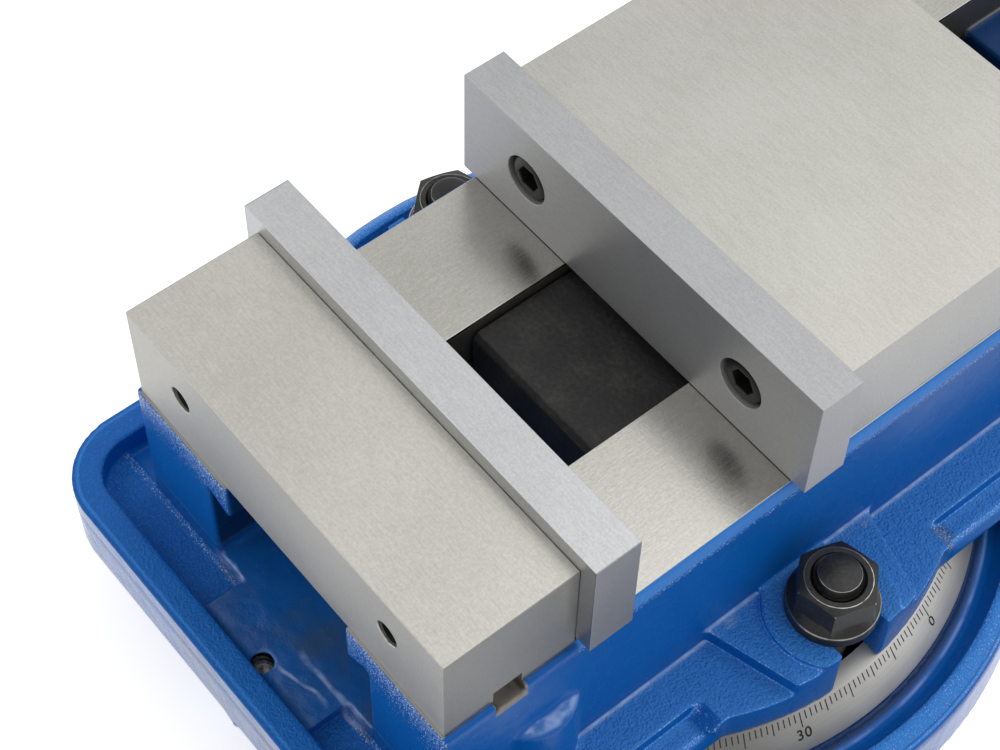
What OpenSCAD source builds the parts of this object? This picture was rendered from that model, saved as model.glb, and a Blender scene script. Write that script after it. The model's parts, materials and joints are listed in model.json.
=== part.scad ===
// Swivel machine vise with a hook nut that pulls the movable jaw down.
// Millimetres. X runs along the jaws, +Y towards the crank, +Z up.
// The origin lies on the swivel axis, on the face the base stands on.

/* [Jaws] */
// Width of each hardened jaw plate
jaw_plate_w = 160; // [150:1:190]
// Height of each jaw plate
jaw_plate_h = 43.5; // [38:0.5:60]
// Thickness of each jaw plate
jaw_plate_t = 16; // [14:0.5:22]
// Height of the plates above the ways
plate_lift = 0.3; // [0.1:0.1:1]
// Opening between the plates as drawn
opening = 67; // [30:1:110]
// Length of the fixed jaw block
fixed_jaw_len = 47; // [44:1:60]
// Height of the fixed jaw block above the ways
fixed_jaw_h = 37.3; // [34:0.1:50]
// Length of the movable jaw body
movable_jaw_len = 118; // [112:1:130]
// Height of the movable jaw body above the ways
movable_jaw_h = 40.3; // [36:0.1:56]
// Distance between the two screws of a plate
plate_screw_spacing = 98; // [80:1:104]
// Height of the plate screws above the ways
plate_screw_h = 22; // [19:0.5:26]
// Distance of the clamping face of the fixed plate from the swivel axis
fixed_face_setback = 73.5; // [66:0.5:84]

/* [Fixed jaw] */
// Depth of the shelf that the block sits in
shelf_drop = 3; // [1:0.5:5]
// Bed left in front of the block
front_ledge = 1; // [0.5:0.5:6]
// Width of the cross keys
key_w = 10; // [8:0.5:12]
// Height of the cross keys
key_h = 9.6; // [8:0.2:12]
// Length of each cross key
key_len = 34; // [20:1:36]
// Distance of a key's outer end from the side of the block
key_end_gap = 4; // [2:0.5:8]
// Distance of the keys from the plate side of the block
key_inset = 24.5; // [22:0.5:28]
// Diameter of the bolts that hold the block
jaw_bolt_d = 16; // [12:1:18]
// Distance of those bolts from the plate side of the block
jaw_bolt_inset = 10.5; // [9:0.5:12]
// Distance of those bolts from the side of the block
jaw_bolt_edge = 12; // [10:0.5:14]
// Depth of the bolts in the block
jaw_bolt_grip = 17; // [10:1:18]
// Depth of the bolt head recess in the bed
jaw_bolt_recess = 28; // [20:1:40]
// Height of the tapped holes in the outer face above the ways
work_stop_h = 20.5; // [16:0.5:26]
// Tapping diameter of those holes
work_stop_d = 8.5; // [6:0.5:10]
// Depth of those holes
work_stop_depth = 20; // [12:1:24]

/* [Bed] */
// Width of the bed below the ways
bed_w = 152; // [146:1:164]
// Height of the bed from its foot to the ways
bed_h = 76.5; // [72:0.5:90]
// Width of the rough bevel beside each way
bevel_w = 1.4; // [0.8:0.1:3]
// Height of that bevel
bevel_h = 5; // [2:0.5:10]
// Jaw body side set back from the edge of the ways
jaw_inset = 0.6; // [0.2:0.1:3]
// Distance from the swivel axis to the rear end
bed_rear = 226.5; // [216:0.5:250]
// Width of the slot between the ways
slot_w = 58; // [52:1:64]
// Thickness of the lip beside the slot
lip_t = 20; // [16:0.5:24]
// Rise of the lip's underside away from the slot
lip_slope = 5; // [1:0.5:8]
// Overhang of the lip over the channel
lip_overhang = 10.5; // [7:0.5:11]
// Thickness under the channel
floor_t = 22.5; // [19:0.5:26]
// Thickness of the rear wall that carries the screw
wall_t = 48; // [40:1:56]
// Height of that wall above the screw axis
wall_over = 19.5; // [18:0.5:24]

/* [Foot and lugs] */
// Width of the foot
foot_w = 201; // [186:1:210]
// Thickness of the foot
foot_t = 13.5; // [10:0.5:18]
// Width of the lower strip along the edge of the foot
strip_w = 10; // [4:0.5:14]
// Drop of that strip
strip_drop = 6; // [2:0.5:9]
// Half length of the full-height middle of the foot
plate_half = 49; // [44:1:60]
// Radius of the rear corners of the foot
foot_corner = 20; // [8:1:30]
// Distance of the clamping bolts from the side of the bed
clamp_offset = 19; // [18:0.5:24]
// Round edge of the foot outside the clamping bolts
lug_edge = 16; // [13:0.5:20]
// Thickness of the lugs
lug_t = 20.5; // [16:0.5:22]
// Thickness at the raised pad under each nut
pad_t = 23.5; // [23:0.5:30]
// Radius of that pad
pad_r = 22; // [18:0.5:26]
// Half width of a lug at the bed
lug_root = 38; // [30:1:44]
// Half width of a lug at its outer end
lug_tip = 25; // [20:1:28]
// Width of the bolt slot in a lug
lug_slot_w = 19; // [18:0.5:22]
// Radius of the columns over the fixed jaw bolts
column_r = 17; // [15:0.5:18]
// Distance of the column axis from the side of the bed
column_inset = 11; // [9:0.5:14]
// Height of the columns above the foot's underside
column_h = 47.5; // [40:0.5:56]

/* [Chip tray] */
// Width of the tray
tray_w = 204; // [196:1:214]
// Reach of the tray beyond the bed
tray_len = 25.5; // [22:0.5:40]
// Reach of the tray's side rims along the bed
tray_side = 34; // [18:0.5:36]
// Radius of the tray's corners
tray_corner = 25; // [16:1:28]
// Width of the rim
rim_w = 10; // [6:0.5:12]
// Height of the rim
rim_h = 26.5; // [24:0.5:34]
// Height of the pocket floors
pocket_h = 16.5; // [14:0.5:19]
// Width of the raised floor before the channel
saddle_w = 54; // [40:1:70]
// Diameter of the drain hole
drain_d = 7; // [4:0.5:9]
// Distance of the drain hole from the bed
drain_out = 12; // [8:0.5:13]

/* [Swivel base] */
// Height of the base up to the graduated ring
base_h = 31.5; // [30:0.5:40]
// Width of the ring outside the T-slot
ring_wall = 11; // [8:0.5:16]
// Width of the sloping dial in plan
dial_w = 8.6; // [6:0.2:10]
// Height of the sloping dial
dial_h = 11.5; // [8:0.5:13]
// Width of the step at the foot of the dial
dial_step = 2.3; // [1:0.1:4]
// Width of the neck of the T-slot
neck_w = 18.5; // [17.5:0.5:22]
// Width of the head of the T-slot
head_w = 32; // [31:0.5:36]
// Height of the head of the T-slot
head_h = 12; // [12:0.5:14]
// Thickness under the T-slot
tslot_floor = 5; // [4:0.5:8]
// Width of the trough around the ring
trough_w = 8.5; // [8:0.5:16]
// Depth of the trough below the ring
trough_drop = 14.5; // [10:0.5:18]
// Width of the outer rim
base_rim_w = 9.5; // [6:0.5:12]
// Drop of the outer rim below the ring
base_rim_drop = 5.5; // [3:0.5:8]
// Reach of the ears beyond the rim
ear_len = 17.5; // [12:0.5:24]
// Width of the ears
ear_w = 64; // [46:1:70]
// Thickness of the ears
ear_t = 20; // [18:0.5:24]
// Radius of the ears' corners
ear_corner = 8; // [6:1:16]
// Width of the bolt slots in the ears
ear_slot_w = 18; // [14:0.5:20]
// Radius of the corners at the mouth of those slots
ear_mouth_r = 3; // [1:0.5:4]
// Distance of the inner end of a bolt slot's axis from the ring
ear_slot_out = 16; // [14:0.5:20]
// Width of the flat for the bolt's washer
ear_flat_w = 34; // [30:1:40]
// Diameter of the centring plug
pivot_d = 50; // [36:1:60]
// Depth of the plug in the base
plug_depth = 20; // [14:0.5:24]
// Height of the plug in the bed
plug_rise = 11.5; // [8:0.5:14]

/* [Clamping bolts] */
// Thread diameter of the clamping bolts
clamp_d = 16; // [12:1:17]
// Width of the square bolt head
clamp_head_w = 27; // [24:0.5:28]
// Height of the square bolt head
clamp_head_h = 11; // [8:0.5:11.5]
// Width across the flats of the flange nuts
nut_af = 24; // [21:0.5:25]
// Diameter of the nut's flange
nut_flange_d = 31; // [29:0.5:34]
// Height of the flange nuts
flange_nut_h = 17; // [12:0.5:20]
// Turn of the tightened nuts about their bolts
nut_turn = 12; // [0:1:59]
// Stud end above the nut
stud_over = 4; // [1:0.5:10]

/* [Plate screws] */
// Thread diameter of the plate screws
plate_screw_d = 10; // [8:0.5:11]
// Head diameter of the plate screws
plate_head_d = 16; // [14:0.5:17]
// Head height of the plate screws
plate_head_h = 10; // [8:0.5:11]
// Width of their hexagon sockets
plate_socket_af = 8; // [5:0.5:9]
// Depth of the screws in the jaw
plate_screw_grip = 18; // [12:1:20]
// Head top below the clamping face
plate_head_sink = 0.8; // [0.4:0.1:2]

/* [Drive] */
// Thread diameter of the lead screw
screw_d = 26; // [22:1:28]
// Pitch of the lead screw
screw_pitch = 5; // [4:0.5:6]
// Depth of the thread
thread_depth = 2.75; // [1.5:0.25:3]
// Number of thread turns
thread_turns = 40; // [36:1:42]
// Height of the screw axis above the channel floor
screw_lift = 18.5; // [18.2:0.1:19.5]
// Diameter of the screw's thrust shoulder
shoulder_d = 36; // [34:0.5:36]
// Length of the thrust shoulder
shoulder_len = 8; // [5:0.5:10]
// Diameter of the screw's journal
journal_d = 20; // [20:0.5:21]
// Width across the flats of the screw's hexagon end
hex_af = 17; // [13:0.5:17]
// Length of the hexagon end
hex_len = 34; // [28:0.5:40]
// Length of the drive nut
nut_len = 142; // [120:1:144]
// Reach of the drive nut ahead of the movable plate
nut_lead = 38; // [30:1:42]
// Top of the drive nut below the ways
nut_drop = 4.5; // [2:0.5:7]
// Front edge rounding of the drive nut
nut_bevel = 2; // [0.5:0.5:4]
// Distance from the jaw's front to the foot of the sloping face
wedge_foot = 50; // [46:0.5:56]
// Thickness of the hook at way level
hook_len = 26; // [20:0.5:32]
// Roof of the jaw over the hook
jaw_roof = 10; // [8:0.5:12]
// Rear wall of the jaw
jaw_rear_wall = 14; // [10:0.5:18]
// Hook width left free in the slot
hook_side_gap = 7; // [5:0.5:10]
// Radius of the half ball
ball_r = 11; // [8:0.5:12]
// Height of the half ball's centre above the ways
ball_h = 14; // [13:0.5:16]
// Diameter of the long set screw in the movable jaw
set_screw_d = 12; // [8:1:14]
// Height of that screw above the ways
set_screw_h = 12; // [9:0.5:16]
// End of that screw below the jaw's rear face
set_screw_sink = 6; // [2:0.5:10]

/* [Screw bearing] */
// Outer diameter of the thrust races
race_d = 35; // [32:0.5:36]
// Thickness of a thrust race
race_t = 2.25; // [1.5:0.25:3]
// Radius of the bearing balls
bearing_ball_r = 2.7; // [2:0.1:2.8]
// Number of bearing balls
bearing_balls = 12; // [8:1:13]
// Thickness of the cage
cage_t = 3; // [2:0.25:4]
// Outer diameter of the bush
bush_d = 26; // [24:0.5:30]
// Outer diameter of the collar
collar_d = 34; // [30:0.5:35]
// Length of the collar
collar_len = 12; // [8:0.5:13]
// Diameter of the collar's set screw
collar_screw_d = 6; // [4:0.5:8]
// Thickness of the bearing cap
cap_t = 16; // [15:0.5:22]
// Wall of the cap behind the collar
cap_wall = 2.5; // [2:0.25:3]
// Half height of the cap
cap_r = 19.4; // [19.2:0.1:22]
// Half distance between the cap's round ends
cap_half = 15; // [14:0.5:20]
// Diameter of the cap screws
cap_screw_d = 6; // [4:0.5:6.5]
// Half distance of the cap screws along X
cap_screw_x = 24; // [23.5:0.5:26]
// Half distance of the cap screws along Z
cap_screw_z = 8; // [6:0.5:9]
// Depth of the cap screws in the bed
cap_screw_grip = 12; // [8:1:16]

/* [Crank] */
// Angle of the crank above the horizontal
crank_angle = 35; // [0:5:90]
// Distance of the grip from the screw axis
crank_r = 150; // [110:5:200]
// Diameter of the crank's hub
hub_d = 36; // [30:1:44]
// Length of the hub
hub_len = 32; // [26:1:38]
// Gap between the hub and the bearing cap
hub_gap = 2; // [1:0.5:6]
// Width of the crank arm
arm_w = 20; // [14:1:26]
// Thickness of the crank arm
arm_t = 12; // [10:0.5:14]
// Diameter of the arm's end
arm_end_d = 26; // [22:1:32]
// Diameter of the grip's spindle
spindle_d = 12; // [8:0.5:14]
// Head diameter of the spindle
spindle_head_d = 18; // [16:0.5:22]
// Head thickness of the spindle
spindle_head_t = 4; // [2:0.5:6]
// Diameter of the grip
grip_d = 28; // [24:1:34]
// Length of the grip
grip_len = 92; // [70:1:120]

/* [Fits] */
// Running gap of shafts and plugs in their bores
run_gap = 0.05; // [0.02:0.01:0.1]
// Gap of screws in their tapped holes
thread_gap = 0.05; // [0.02:0.01:0.1]
// Gap of pressed pieces
press_gap = 0.02; // [0.01:0.01:0.05]
// Side gap of the drive nut in the slot
slot_gap = 0.5; // [0.2:0.1:1]
// Gap of the drive nut below the lips and over the floor
channel_gap = 1.2; // [0.8:0.1:2]
// Gap between the sloping faces of hook and half ball
wedge_gap = 0.1; // [0.05:0.05:0.3]
// Room of screw heads in their recesses, on the diameter
head_room = 1.5; // [1:0.1:2]
// Room of bolts in their clearance holes, on the diameter
bolt_room = 1; // [0.6:0.1:1.6]

/* [Hidden] */
$fn = 64;
cut = 1;
// How far arcs run past each other where they only touch
graze = 0.02;

// Heights
bed_z = base_h;
way_z = bed_z + bed_h;
shelf_z = way_z - shelf_drop;
floor_z = bed_z + floor_t;
foot_z = bed_z + foot_t;
strip_z = foot_z - strip_drop;
lip_z = way_z - lip_t;
plate_z = way_z + plate_lift;
screw_z = floor_z + screw_lift;
wall_z = screw_z + wall_over;
pad_z = bed_z + pad_t;
tray_rim_z = bed_z + rim_h;
plate_screw_z = way_z + plate_screw_h;

// Widths
way_w = bed_w - 2 * bevel_w;
jaw_w = way_w - 2 * jaw_inset;
channel_w = slot_w + 2 * lip_overhang;

// Lengths along Y
fixed_face_y = -fixed_face_setback;
fixed_jaw_y = fixed_face_y - jaw_plate_t;
block_end_y = fixed_jaw_y - fixed_jaw_len;
bed_front_y = block_end_y - front_ledge;
move_face_y = fixed_face_y + opening;
move_jaw_y = move_face_y + jaw_plate_t;
jaw_rear_y = move_jaw_y + movable_jaw_len;
tray_front_y = bed_front_y - tray_len;
tray_back_y = bed_front_y + tray_side;
wall_y = bed_rear - wall_t;
race_y = wall_y - race_t;
bearing_y = race_y - 2 * (bearing_ball_r + run_gap) - race_t;
shoulder_y = bearing_y - shoulder_len;
thread_y = shoulder_y - thread_turns * screw_pitch;
cap_y = bed_rear + cap_t;
hub_y = cap_y + hub_gap;
hex_y = hub_y - hub_gap / 2;
arm_y = hub_y + (hub_len - arm_t) / 2;
grip_y = arm_y + arm_t + run_gap;
key_y = fixed_jaw_y - key_inset;
jaw_bolt_y = fixed_jaw_y - jaw_bolt_inset;
jaw_bolt_x = jaw_w / 2 - jaw_bolt_edge;
hook_y = move_jaw_y + wedge_foot + hook_len;

// Radii about the swivel axis
clamp_r = bed_w / 2 + clamp_offset;
round_r = clamp_r + lug_edge;
ring_r = clamp_r + head_w / 2 + ring_wall;
dial_r = ring_r - dial_step;
trough_r = ring_r + trough_w;
base_r = trough_r + base_rim_w;
ear_y = base_r + ear_len;
ear_slot_y = ring_r + ear_slot_out;

// Head sizes of the other fasteners follow their thread diameters
jaw_head_d = 1.5 * jaw_bolt_d;
jaw_head_h = jaw_bolt_d;
cap_head_d = 10 / 6 * cap_screw_d;
cap_head_h = cap_screw_d;

// Colours
blue = [0.05, 0.30, 0.66];
ground = [0.76, 0.75, 0.72];
plate_grey = [0.66, 0.66, 0.67];
black = [0.09, 0.09, 0.09];
bright = [0.80, 0.80, 0.80];
bronze = [0.70, 0.50, 0.25];

// Draws its child and the mirror image across the YZ plane
module both_sides() {
  children();
  mirror([1, 0, 0]) children();
}

// Box between two corners
module box(low, high) {
  translate(low) cube(high - low);
}

// Extrudes an outline drawn in X and Z along Y
module along_y(y0, y1) {
  translate([0, y1, 0]) rotate([90, 0, 0]) linear_extrude(y1 - y0) children();
}

// Extrudes an outline drawn in Y and Z along X
module along_x(x0, x1) {
  translate([x0, 0, 0]) rotate([90, 0, 90]) linear_extrude(x1 - x0) children();
}

// Round bar along Y
module bar_y(x, z, y0, y1, d) {
  translate([x, y0, z]) rotate([-90, 0, 0]) cylinder(d = d, h = y1 - y0);
}

// Six-sided bar along Y, set by its width across the flats
module hex_y_bar(x, z, y0, y1, af) {
  translate([x, y0, z]) rotate([-90, 0, 0]) cylinder(d = af / cos(30), h = y1 - y0, $fn = 6);
}

// Ring along Y about the screw axis
module ring_y(y0, y1, outer_d, inner_d) {
  difference() {
    bar_y(0, screw_z, y0, y1, outer_d);
    bar_y(0, screw_z, y0 - cut, y1 + cut, inner_d);
  }
}

// Turns its child about the screw axis with the crank
module with_crank() {
  translate([0, 0, screw_z]) rotate([0, -crank_angle, 0]) translate([0, 0, -screw_z]) children();
}

// Section of the base from the axis to the rim
function base_outline() = [
  [0, 0],
  [base_r, 0],
  [base_r - 1.2, base_h - base_rim_drop - 7],
  [base_r - 2.5, base_h - base_rim_drop - 4],
  [trough_r + 2.5, base_h - base_rim_drop - 0.4],
  [trough_r + 0.8, base_h - base_rim_drop],
  [trough_r, base_h - base_rim_drop - 1],
  [trough_r - 1.2, base_h - trough_drop + 4.5],
  [trough_r - 4.5, base_h - trough_drop],
  [ring_r + 1, base_h - trough_drop],
  [dial_r + 0.8, base_h - trough_drop + 0.8],
  [dial_r, base_h - dial_h],
  [dial_r - dial_w, base_h],
  [0, base_h]
];

// Section of the ring slot
function tslot_outline() = [
  [clamp_r - neck_w / 2, base_h + cut],
  [clamp_r - neck_w / 2, tslot_floor + head_h],
  [clamp_r - head_w / 2, tslot_floor + head_h],
  [clamp_r - head_w / 2, tslot_floor],
  [clamp_r + head_w / 2, tslot_floor],
  [clamp_r + head_w / 2, tslot_floor + head_h],
  [clamp_r + neck_w / 2, tslot_floor + head_h],
  [clamp_r + neck_w / 2, base_h + cut]
];

// What round corners between an ear's end and its sides take away
// out is 1 for the sides of the slot and -1 for the sides of the ear
module ear_round_cut(edge, out, r) {
  x = edge + out * r;
  y = sqrt(pow(ear_y - r + graze, 2) - x * x);
  past = edge - out * cut;
  for (side = [-1, 1]) {
    difference() {
      polygon([[side * past, y], [side * x, y], 2 * [side * x, y], 2 * [side * past, y]]);
      translate([side * x, y]) circle(r = r);
    }
  }
}

// Plan of one ear, with a round end about the swivel axis and round corners
module ear_plan() {
  difference() {
    intersection() {
      circle(r = ear_y);
      translate([-ear_w / 2, ring_r]) square([ear_w, ear_y]);
    }
    ear_round_cut(ear_w / 2, -1, ear_corner);
    ear_round_cut(ear_slot_w / 2, 1, ear_mouth_r);
  }
}

// Slot open towards the end of an ear
module ear_slot_plan(w) {
  translate([0, ear_slot_y]) circle(d = w);
  translate([-w / 2, ear_slot_y]) square([w, ear_y + cut - ear_slot_y]);
}

module swivel_base() {
  entry = clamp_head_w + head_room;
  color(blue) difference() {
    union() {
      rotate_extrude($fn = 180) polygon(base_outline());
      for (turn = [0, 180]) {
        rotate(turn) linear_extrude(ear_t) ear_plan();
      }
    }
    rotate_extrude($fn = 180) polygon(tslot_outline());
    translate([-entry / 2, clamp_r - entry / 2, tslot_floor + cut]) cube([entry, entry, base_h]);
    translate([0, 0, base_h - plug_depth]) cylinder(d = pivot_d + 2 * press_gap, h = plug_depth + cut);
    for (turn = [0, 180]) {
      rotate(turn) translate([0, 0, -cut]) linear_extrude(base_h) ear_slot_plan(ear_slot_w);
      rotate(turn) translate([0, 0, ear_t]) linear_extrude(base_h) ear_slot_plan(ear_flat_w);
    }
  }
}

module pivot_plug() {
  color(bright) difference() {
    translate([0, 0, base_h - plug_depth]) union() {
      cylinder(d = pivot_d, h = plug_depth + plug_rise - 1.5);
      translate([0, 0, plug_depth + plug_rise - 1.5]) {
        cylinder(d1 = pivot_d, d2 = pivot_d - 3, h = 1.5);
      }
    }
    translate([0, 0, base_h]) cylinder(d = 8, h = plug_rise + cut);
  }
}

// Section of the bed without its channel
module bed_section() {
  polygon([
    [-bed_w / 2, bed_z], [bed_w / 2, bed_z], [bed_w / 2, way_z - bevel_h], [way_w / 2, way_z],
    [-way_w / 2, way_z], [-bed_w / 2, way_z - bevel_h]
  ]);
}

// Section of the slot and the channel under its lips
module channel_section() {
  polygon([
    [-channel_w / 2, floor_z], [channel_w / 2, floor_z], [channel_w / 2, lip_z + lip_slope],
    [slot_w / 2, lip_z], [slot_w / 2, way_z + cut], [-slot_w / 2, way_z + cut], [-slot_w / 2, lip_z],
    [-channel_w / 2, lip_z + lip_slope]
  ]);
}

// Plan of the foot with its round middle
module foot_plan() {
  half = foot_w / 2;
  rear = bed_rear - foot_corner;
  translate([-half, bed_front_y]) square([foot_w, rear - bed_front_y]);
  translate([foot_corner - half, bed_front_y]) square([foot_w - 2 * foot_corner, bed_rear - bed_front_y]);
  for (side = [-1, 1]) {
    translate([side * (half - foot_corner), rear]) circle(r = foot_corner);
  }
  circle(r = round_r, $fn = 180);
}

// Lower strips along one edge of the foot, with sloping ends
module strip_cuts() {
  along_x(foot_w / 2 - strip_w, foot_w / 2 + round_r) {
    polygon([
      [tray_back_y, strip_z], [-plate_half - strip_drop, strip_z],
      [-plate_half + cut, foot_z + cut], [tray_back_y, foot_z + cut]
    ]);
    polygon([
      [plate_half + strip_drop, strip_z], [bed_rear + cut, strip_z],
      [bed_rear + cut, foot_z + cut], [plate_half - cut, foot_z + cut]
    ]);
  }
}

// Clamping lug with its raised pad
module lug() {
  root_x = bed_w / 2 - lip_overhang;
  intersection() {
    translate([0, 0, bed_z]) cylinder(r = round_r, h = pad_t + cut, $fn = 180);
    union() {
      translate([0, 0, bed_z]) linear_extrude(lug_t) polygon([
        [root_x, -lug_root], [round_r, -lug_tip], [round_r, lug_tip], [root_x, lug_root]
      ]);
      translate([clamp_r, 0, bed_z]) cylinder(r = pad_r, h = pad_t);
    }
  }
}

// Bolt slot of a lug, open outwards
module lug_slot() {
  translate([clamp_r, 0, bed_z - cut]) cylinder(d = lug_slot_w, h = pad_t + 2 * cut);
  translate([clamp_r, -lug_slot_w / 2, bed_z - cut]) cube([round_r, lug_slot_w, pad_t + 2 * cut]);
}

// Column over a fixed jaw bolt
module column() {
  translate([bed_w / 2 - column_inset, jaw_bolt_y, bed_z]) {
    cylinder(r = column_r, h = column_h - 3);
    translate([0, 0, column_h - 3]) cylinder(r1 = column_r, r2 = column_r - 3, h = 3);
  }
}

// Plan of the tray, drawn in by a distance
module tray_plan(inset, back) {
  half = tray_w / 2 - inset;
  front = tray_front_y + inset;
  r = tray_corner - inset;
  translate([-half, front + r]) square([2 * half, back - front - r]);
  translate([r - half, front]) square([2 * (half - r), back - front]);
  for (side = [-1, 1]) {
    translate([side * (half - r), front + r]) circle(r = r);
  }
}

// Tray with rim, pockets and the raised floor before the channel
module tray() {
  slope = tray_rim_z - strip_z;
  difference() {
    translate([0, 0, bed_z]) linear_extrude(rim_h) tray_plan(0, tray_back_y);
    translate([0, 0, bed_z + pocket_h]) linear_extrude(rim_h) tray_plan(rim_w, tray_back_y + cut);
    along_x(-tray_w, tray_w) polygon([
      [tray_back_y - slope, tray_rim_z + cut], [tray_back_y - slope, tray_rim_z],
      [tray_back_y, strip_z], [tray_back_y + cut, strip_z], [tray_back_y + cut, tray_rim_z + cut]
    ]);
  }
  box([-saddle_w / 2, tray_front_y + rim_w / 2, bed_z], [saddle_w / 2, bed_front_y + cut, floor_z]);
  both_sides() box([bed_w / 2 - cut, bed_front_y, bed_z], [foot_w / 2 - strip_w, tray_back_y, foot_z]);
}

// Everything cut out of the bed from below, behind or through it
module bed_holes() {
  translate([0, 0, bed_z - cut]) cylinder(d = pivot_d + 2 * run_gap, h = plug_rise + cut + run_gap);
  bar_y(0, screw_z, wall_y - cut, bed_rear + cut, bush_d + 2 * press_gap);
  for (side = [-1, 1]) {
    translate([side * jaw_bolt_x, jaw_bolt_y, bed_z - cut]) {
      cylinder(d = jaw_head_d + head_room, h = jaw_bolt_recess + cut);
      cylinder(d = jaw_bolt_d + bolt_room, h = bed_h + 2 * cut);
    }
    for (up = [-1, 1]) {
      bar_y(
        side * cap_screw_x, screw_z + up * cap_screw_z, bed_rear - cap_screw_grip - 2, bed_rear + cut,
        cap_screw_d + 2 * thread_gap
      );
    }
  }
  box(
    [-bed_w, key_y - key_w / 2 - press_gap, shelf_z - key_h / 2 - press_gap],
    [bed_w, key_y + key_w / 2 + press_gap, way_z + cut]
  );
}

module bed() {
  color(blue) difference() {
    union() {
      along_y(bed_front_y, bed_rear) bed_section();
      difference() {
        translate([0, 0, bed_z]) linear_extrude(foot_t) foot_plan();
        both_sides() strip_cuts();
        both_sides() box([bed_w / 2, bed_front_y - cut, bed_z - cut], [tray_w, tray_back_y, foot_z + cut]);
      }
      both_sides() lug();
      both_sides() column();
    }
    along_y(bed_front_y - cut, wall_y) channel_section();
    box([-slot_w / 2, wall_y - cut, wall_z], [slot_w / 2, bed_rear + cut, way_z + cut]);
    box([-bed_w, bed_front_y - cut, shelf_z], [bed_w, fixed_jaw_y + plate_lift, way_z + cut]);
    both_sides() lug_slot();
    bed_holes();
  }
}

module chip_tray() {
  color(blue) difference() {
    tray();
    along_y(bed_front_y, bed_rear) bed_section();
    both_sides() column();
    translate([0, bed_front_y - drain_out, bed_z - cut]) cylinder(d = drain_d, h = bed_h);
  }
}

// One T-head bolt on the swivel axis
module t_bolt() {
  head_z = tslot_floor + head_h - clamp_head_h;
  top_z = pad_z + flange_nut_h + stud_over;
  translate([-clamp_head_w / 2, -clamp_head_w / 2, head_z]) {
    cube([clamp_head_w, clamp_head_w, clamp_head_h]);
  }
  translate([0, 0, head_z]) cylinder(d = clamp_d, h = top_z - head_z - 1.2);
  translate([0, 0, top_z - 1.2]) cylinder(d1 = clamp_d, d2 = clamp_d - 2.4, h = 1.2);
}

module t_bolts() {
  color(black) for (side = [-1, 1]) {
    translate([side * clamp_r, 0, 0]) t_bolt();
  }
}

// One flange nut on the swivel axis
module flange_nut() {
  flange_h = flange_nut_h / 5;
  difference() {
    translate([0, 0, pad_z]) union() {
      cylinder(d = nut_flange_d, h = flange_h / 2);
      translate([0, 0, flange_h / 2]) cylinder(d1 = nut_flange_d, d2 = nut_af, h = flange_h);
      intersection() {
        rotate(nut_turn) cylinder(d = nut_af / cos(30), h = flange_nut_h, $fn = 6);
        cylinder(d1 = 0.9 * nut_af + 4 * flange_nut_h, d2 = 0.9 * nut_af, h = flange_nut_h);
      }
    }
    translate([0, 0, pad_z - cut]) cylinder(d = clamp_d + 2 * thread_gap, h = flange_nut_h + 2 * cut);
    translate([0, 0, pad_z + flange_nut_h - 1]) cylinder(d1 = clamp_d, d2 = clamp_d + 2, h = 2);
  }
}

module flange_nuts() {
  color(black) for (side = [-1, 1]) {
    translate([side * clamp_r, 0, 0]) flange_nut();
  }
}

module fixed_jaw() {
  outer_z = way_z + work_stop_h;
  color(ground) difference() {
    box([-jaw_w / 2, block_end_y, shelf_z], [jaw_w / 2, fixed_jaw_y, way_z + fixed_jaw_h]);
    box(
      [-jaw_w, key_y - key_w / 2 - press_gap, shelf_z - cut],
      [jaw_w, key_y + key_w / 2 + press_gap, shelf_z + key_h / 2 + press_gap]
    );
    for (side = [-1, 1]) {
      plate_x = side * plate_screw_spacing / 2;
      bar_y(
        plate_x, plate_screw_z, fixed_jaw_y - plate_screw_grip - 2, fixed_jaw_y + cut,
        plate_screw_d + 2 * thread_gap
      );
      bar_y(plate_x, outer_z, block_end_y - cut, block_end_y + work_stop_depth, work_stop_d);
      translate([side * jaw_bolt_x, jaw_bolt_y, shelf_z - cut]) {
        cylinder(d = jaw_bolt_d + 2 * thread_gap, h = jaw_bolt_grip + 1 + cut);
      }
    }
  }
}

module fixed_jaw_keys() {
  outer_x = jaw_w / 2 - key_end_gap;
  color(bright) both_sides() box(
    [outer_x - key_len, key_y - key_w / 2, shelf_z - key_h / 2],
    [outer_x, key_y + key_w / 2, shelf_z + key_h / 2]
  );
}

module fixed_jaw_bolts() {
  seat_z = bed_z + jaw_bolt_recess;
  color(black) for (side = [-1, 1]) {
    translate([side * jaw_bolt_x, jaw_bolt_y, 0]) difference() {
      union() {
        translate([0, 0, seat_z - jaw_head_h]) cylinder(d = jaw_head_d, h = jaw_head_h);
        translate([0, 0, seat_z]) cylinder(d = jaw_bolt_d, h = shelf_z + jaw_bolt_grip - seat_z);
      }
      translate([0, 0, seat_z - jaw_head_h - cut]) {
        cylinder(d = 0.875 * jaw_bolt_d / cos(30), h = jaw_head_h / 2 + cut, $fn = 6);
      }
    }
  }
}

// Jaw plate with its clamping face in the plane Y = 0 and its back towards +Y
module jaw_plate() {
  seat = plate_head_h + plate_head_sink;
  difference() {
    box([-jaw_plate_w / 2, 0, plate_z], [jaw_plate_w / 2, jaw_plate_t, plate_z + jaw_plate_h]);
    for (side = [-1, 1]) {
      plate_x = side * plate_screw_spacing / 2;
      bar_y(plate_x, plate_screw_z, -cut, seat, plate_head_d + head_room);
      bar_y(plate_x, plate_screw_z, -cut, jaw_plate_t + cut, plate_screw_d + bolt_room);
    }
  }
}

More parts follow.
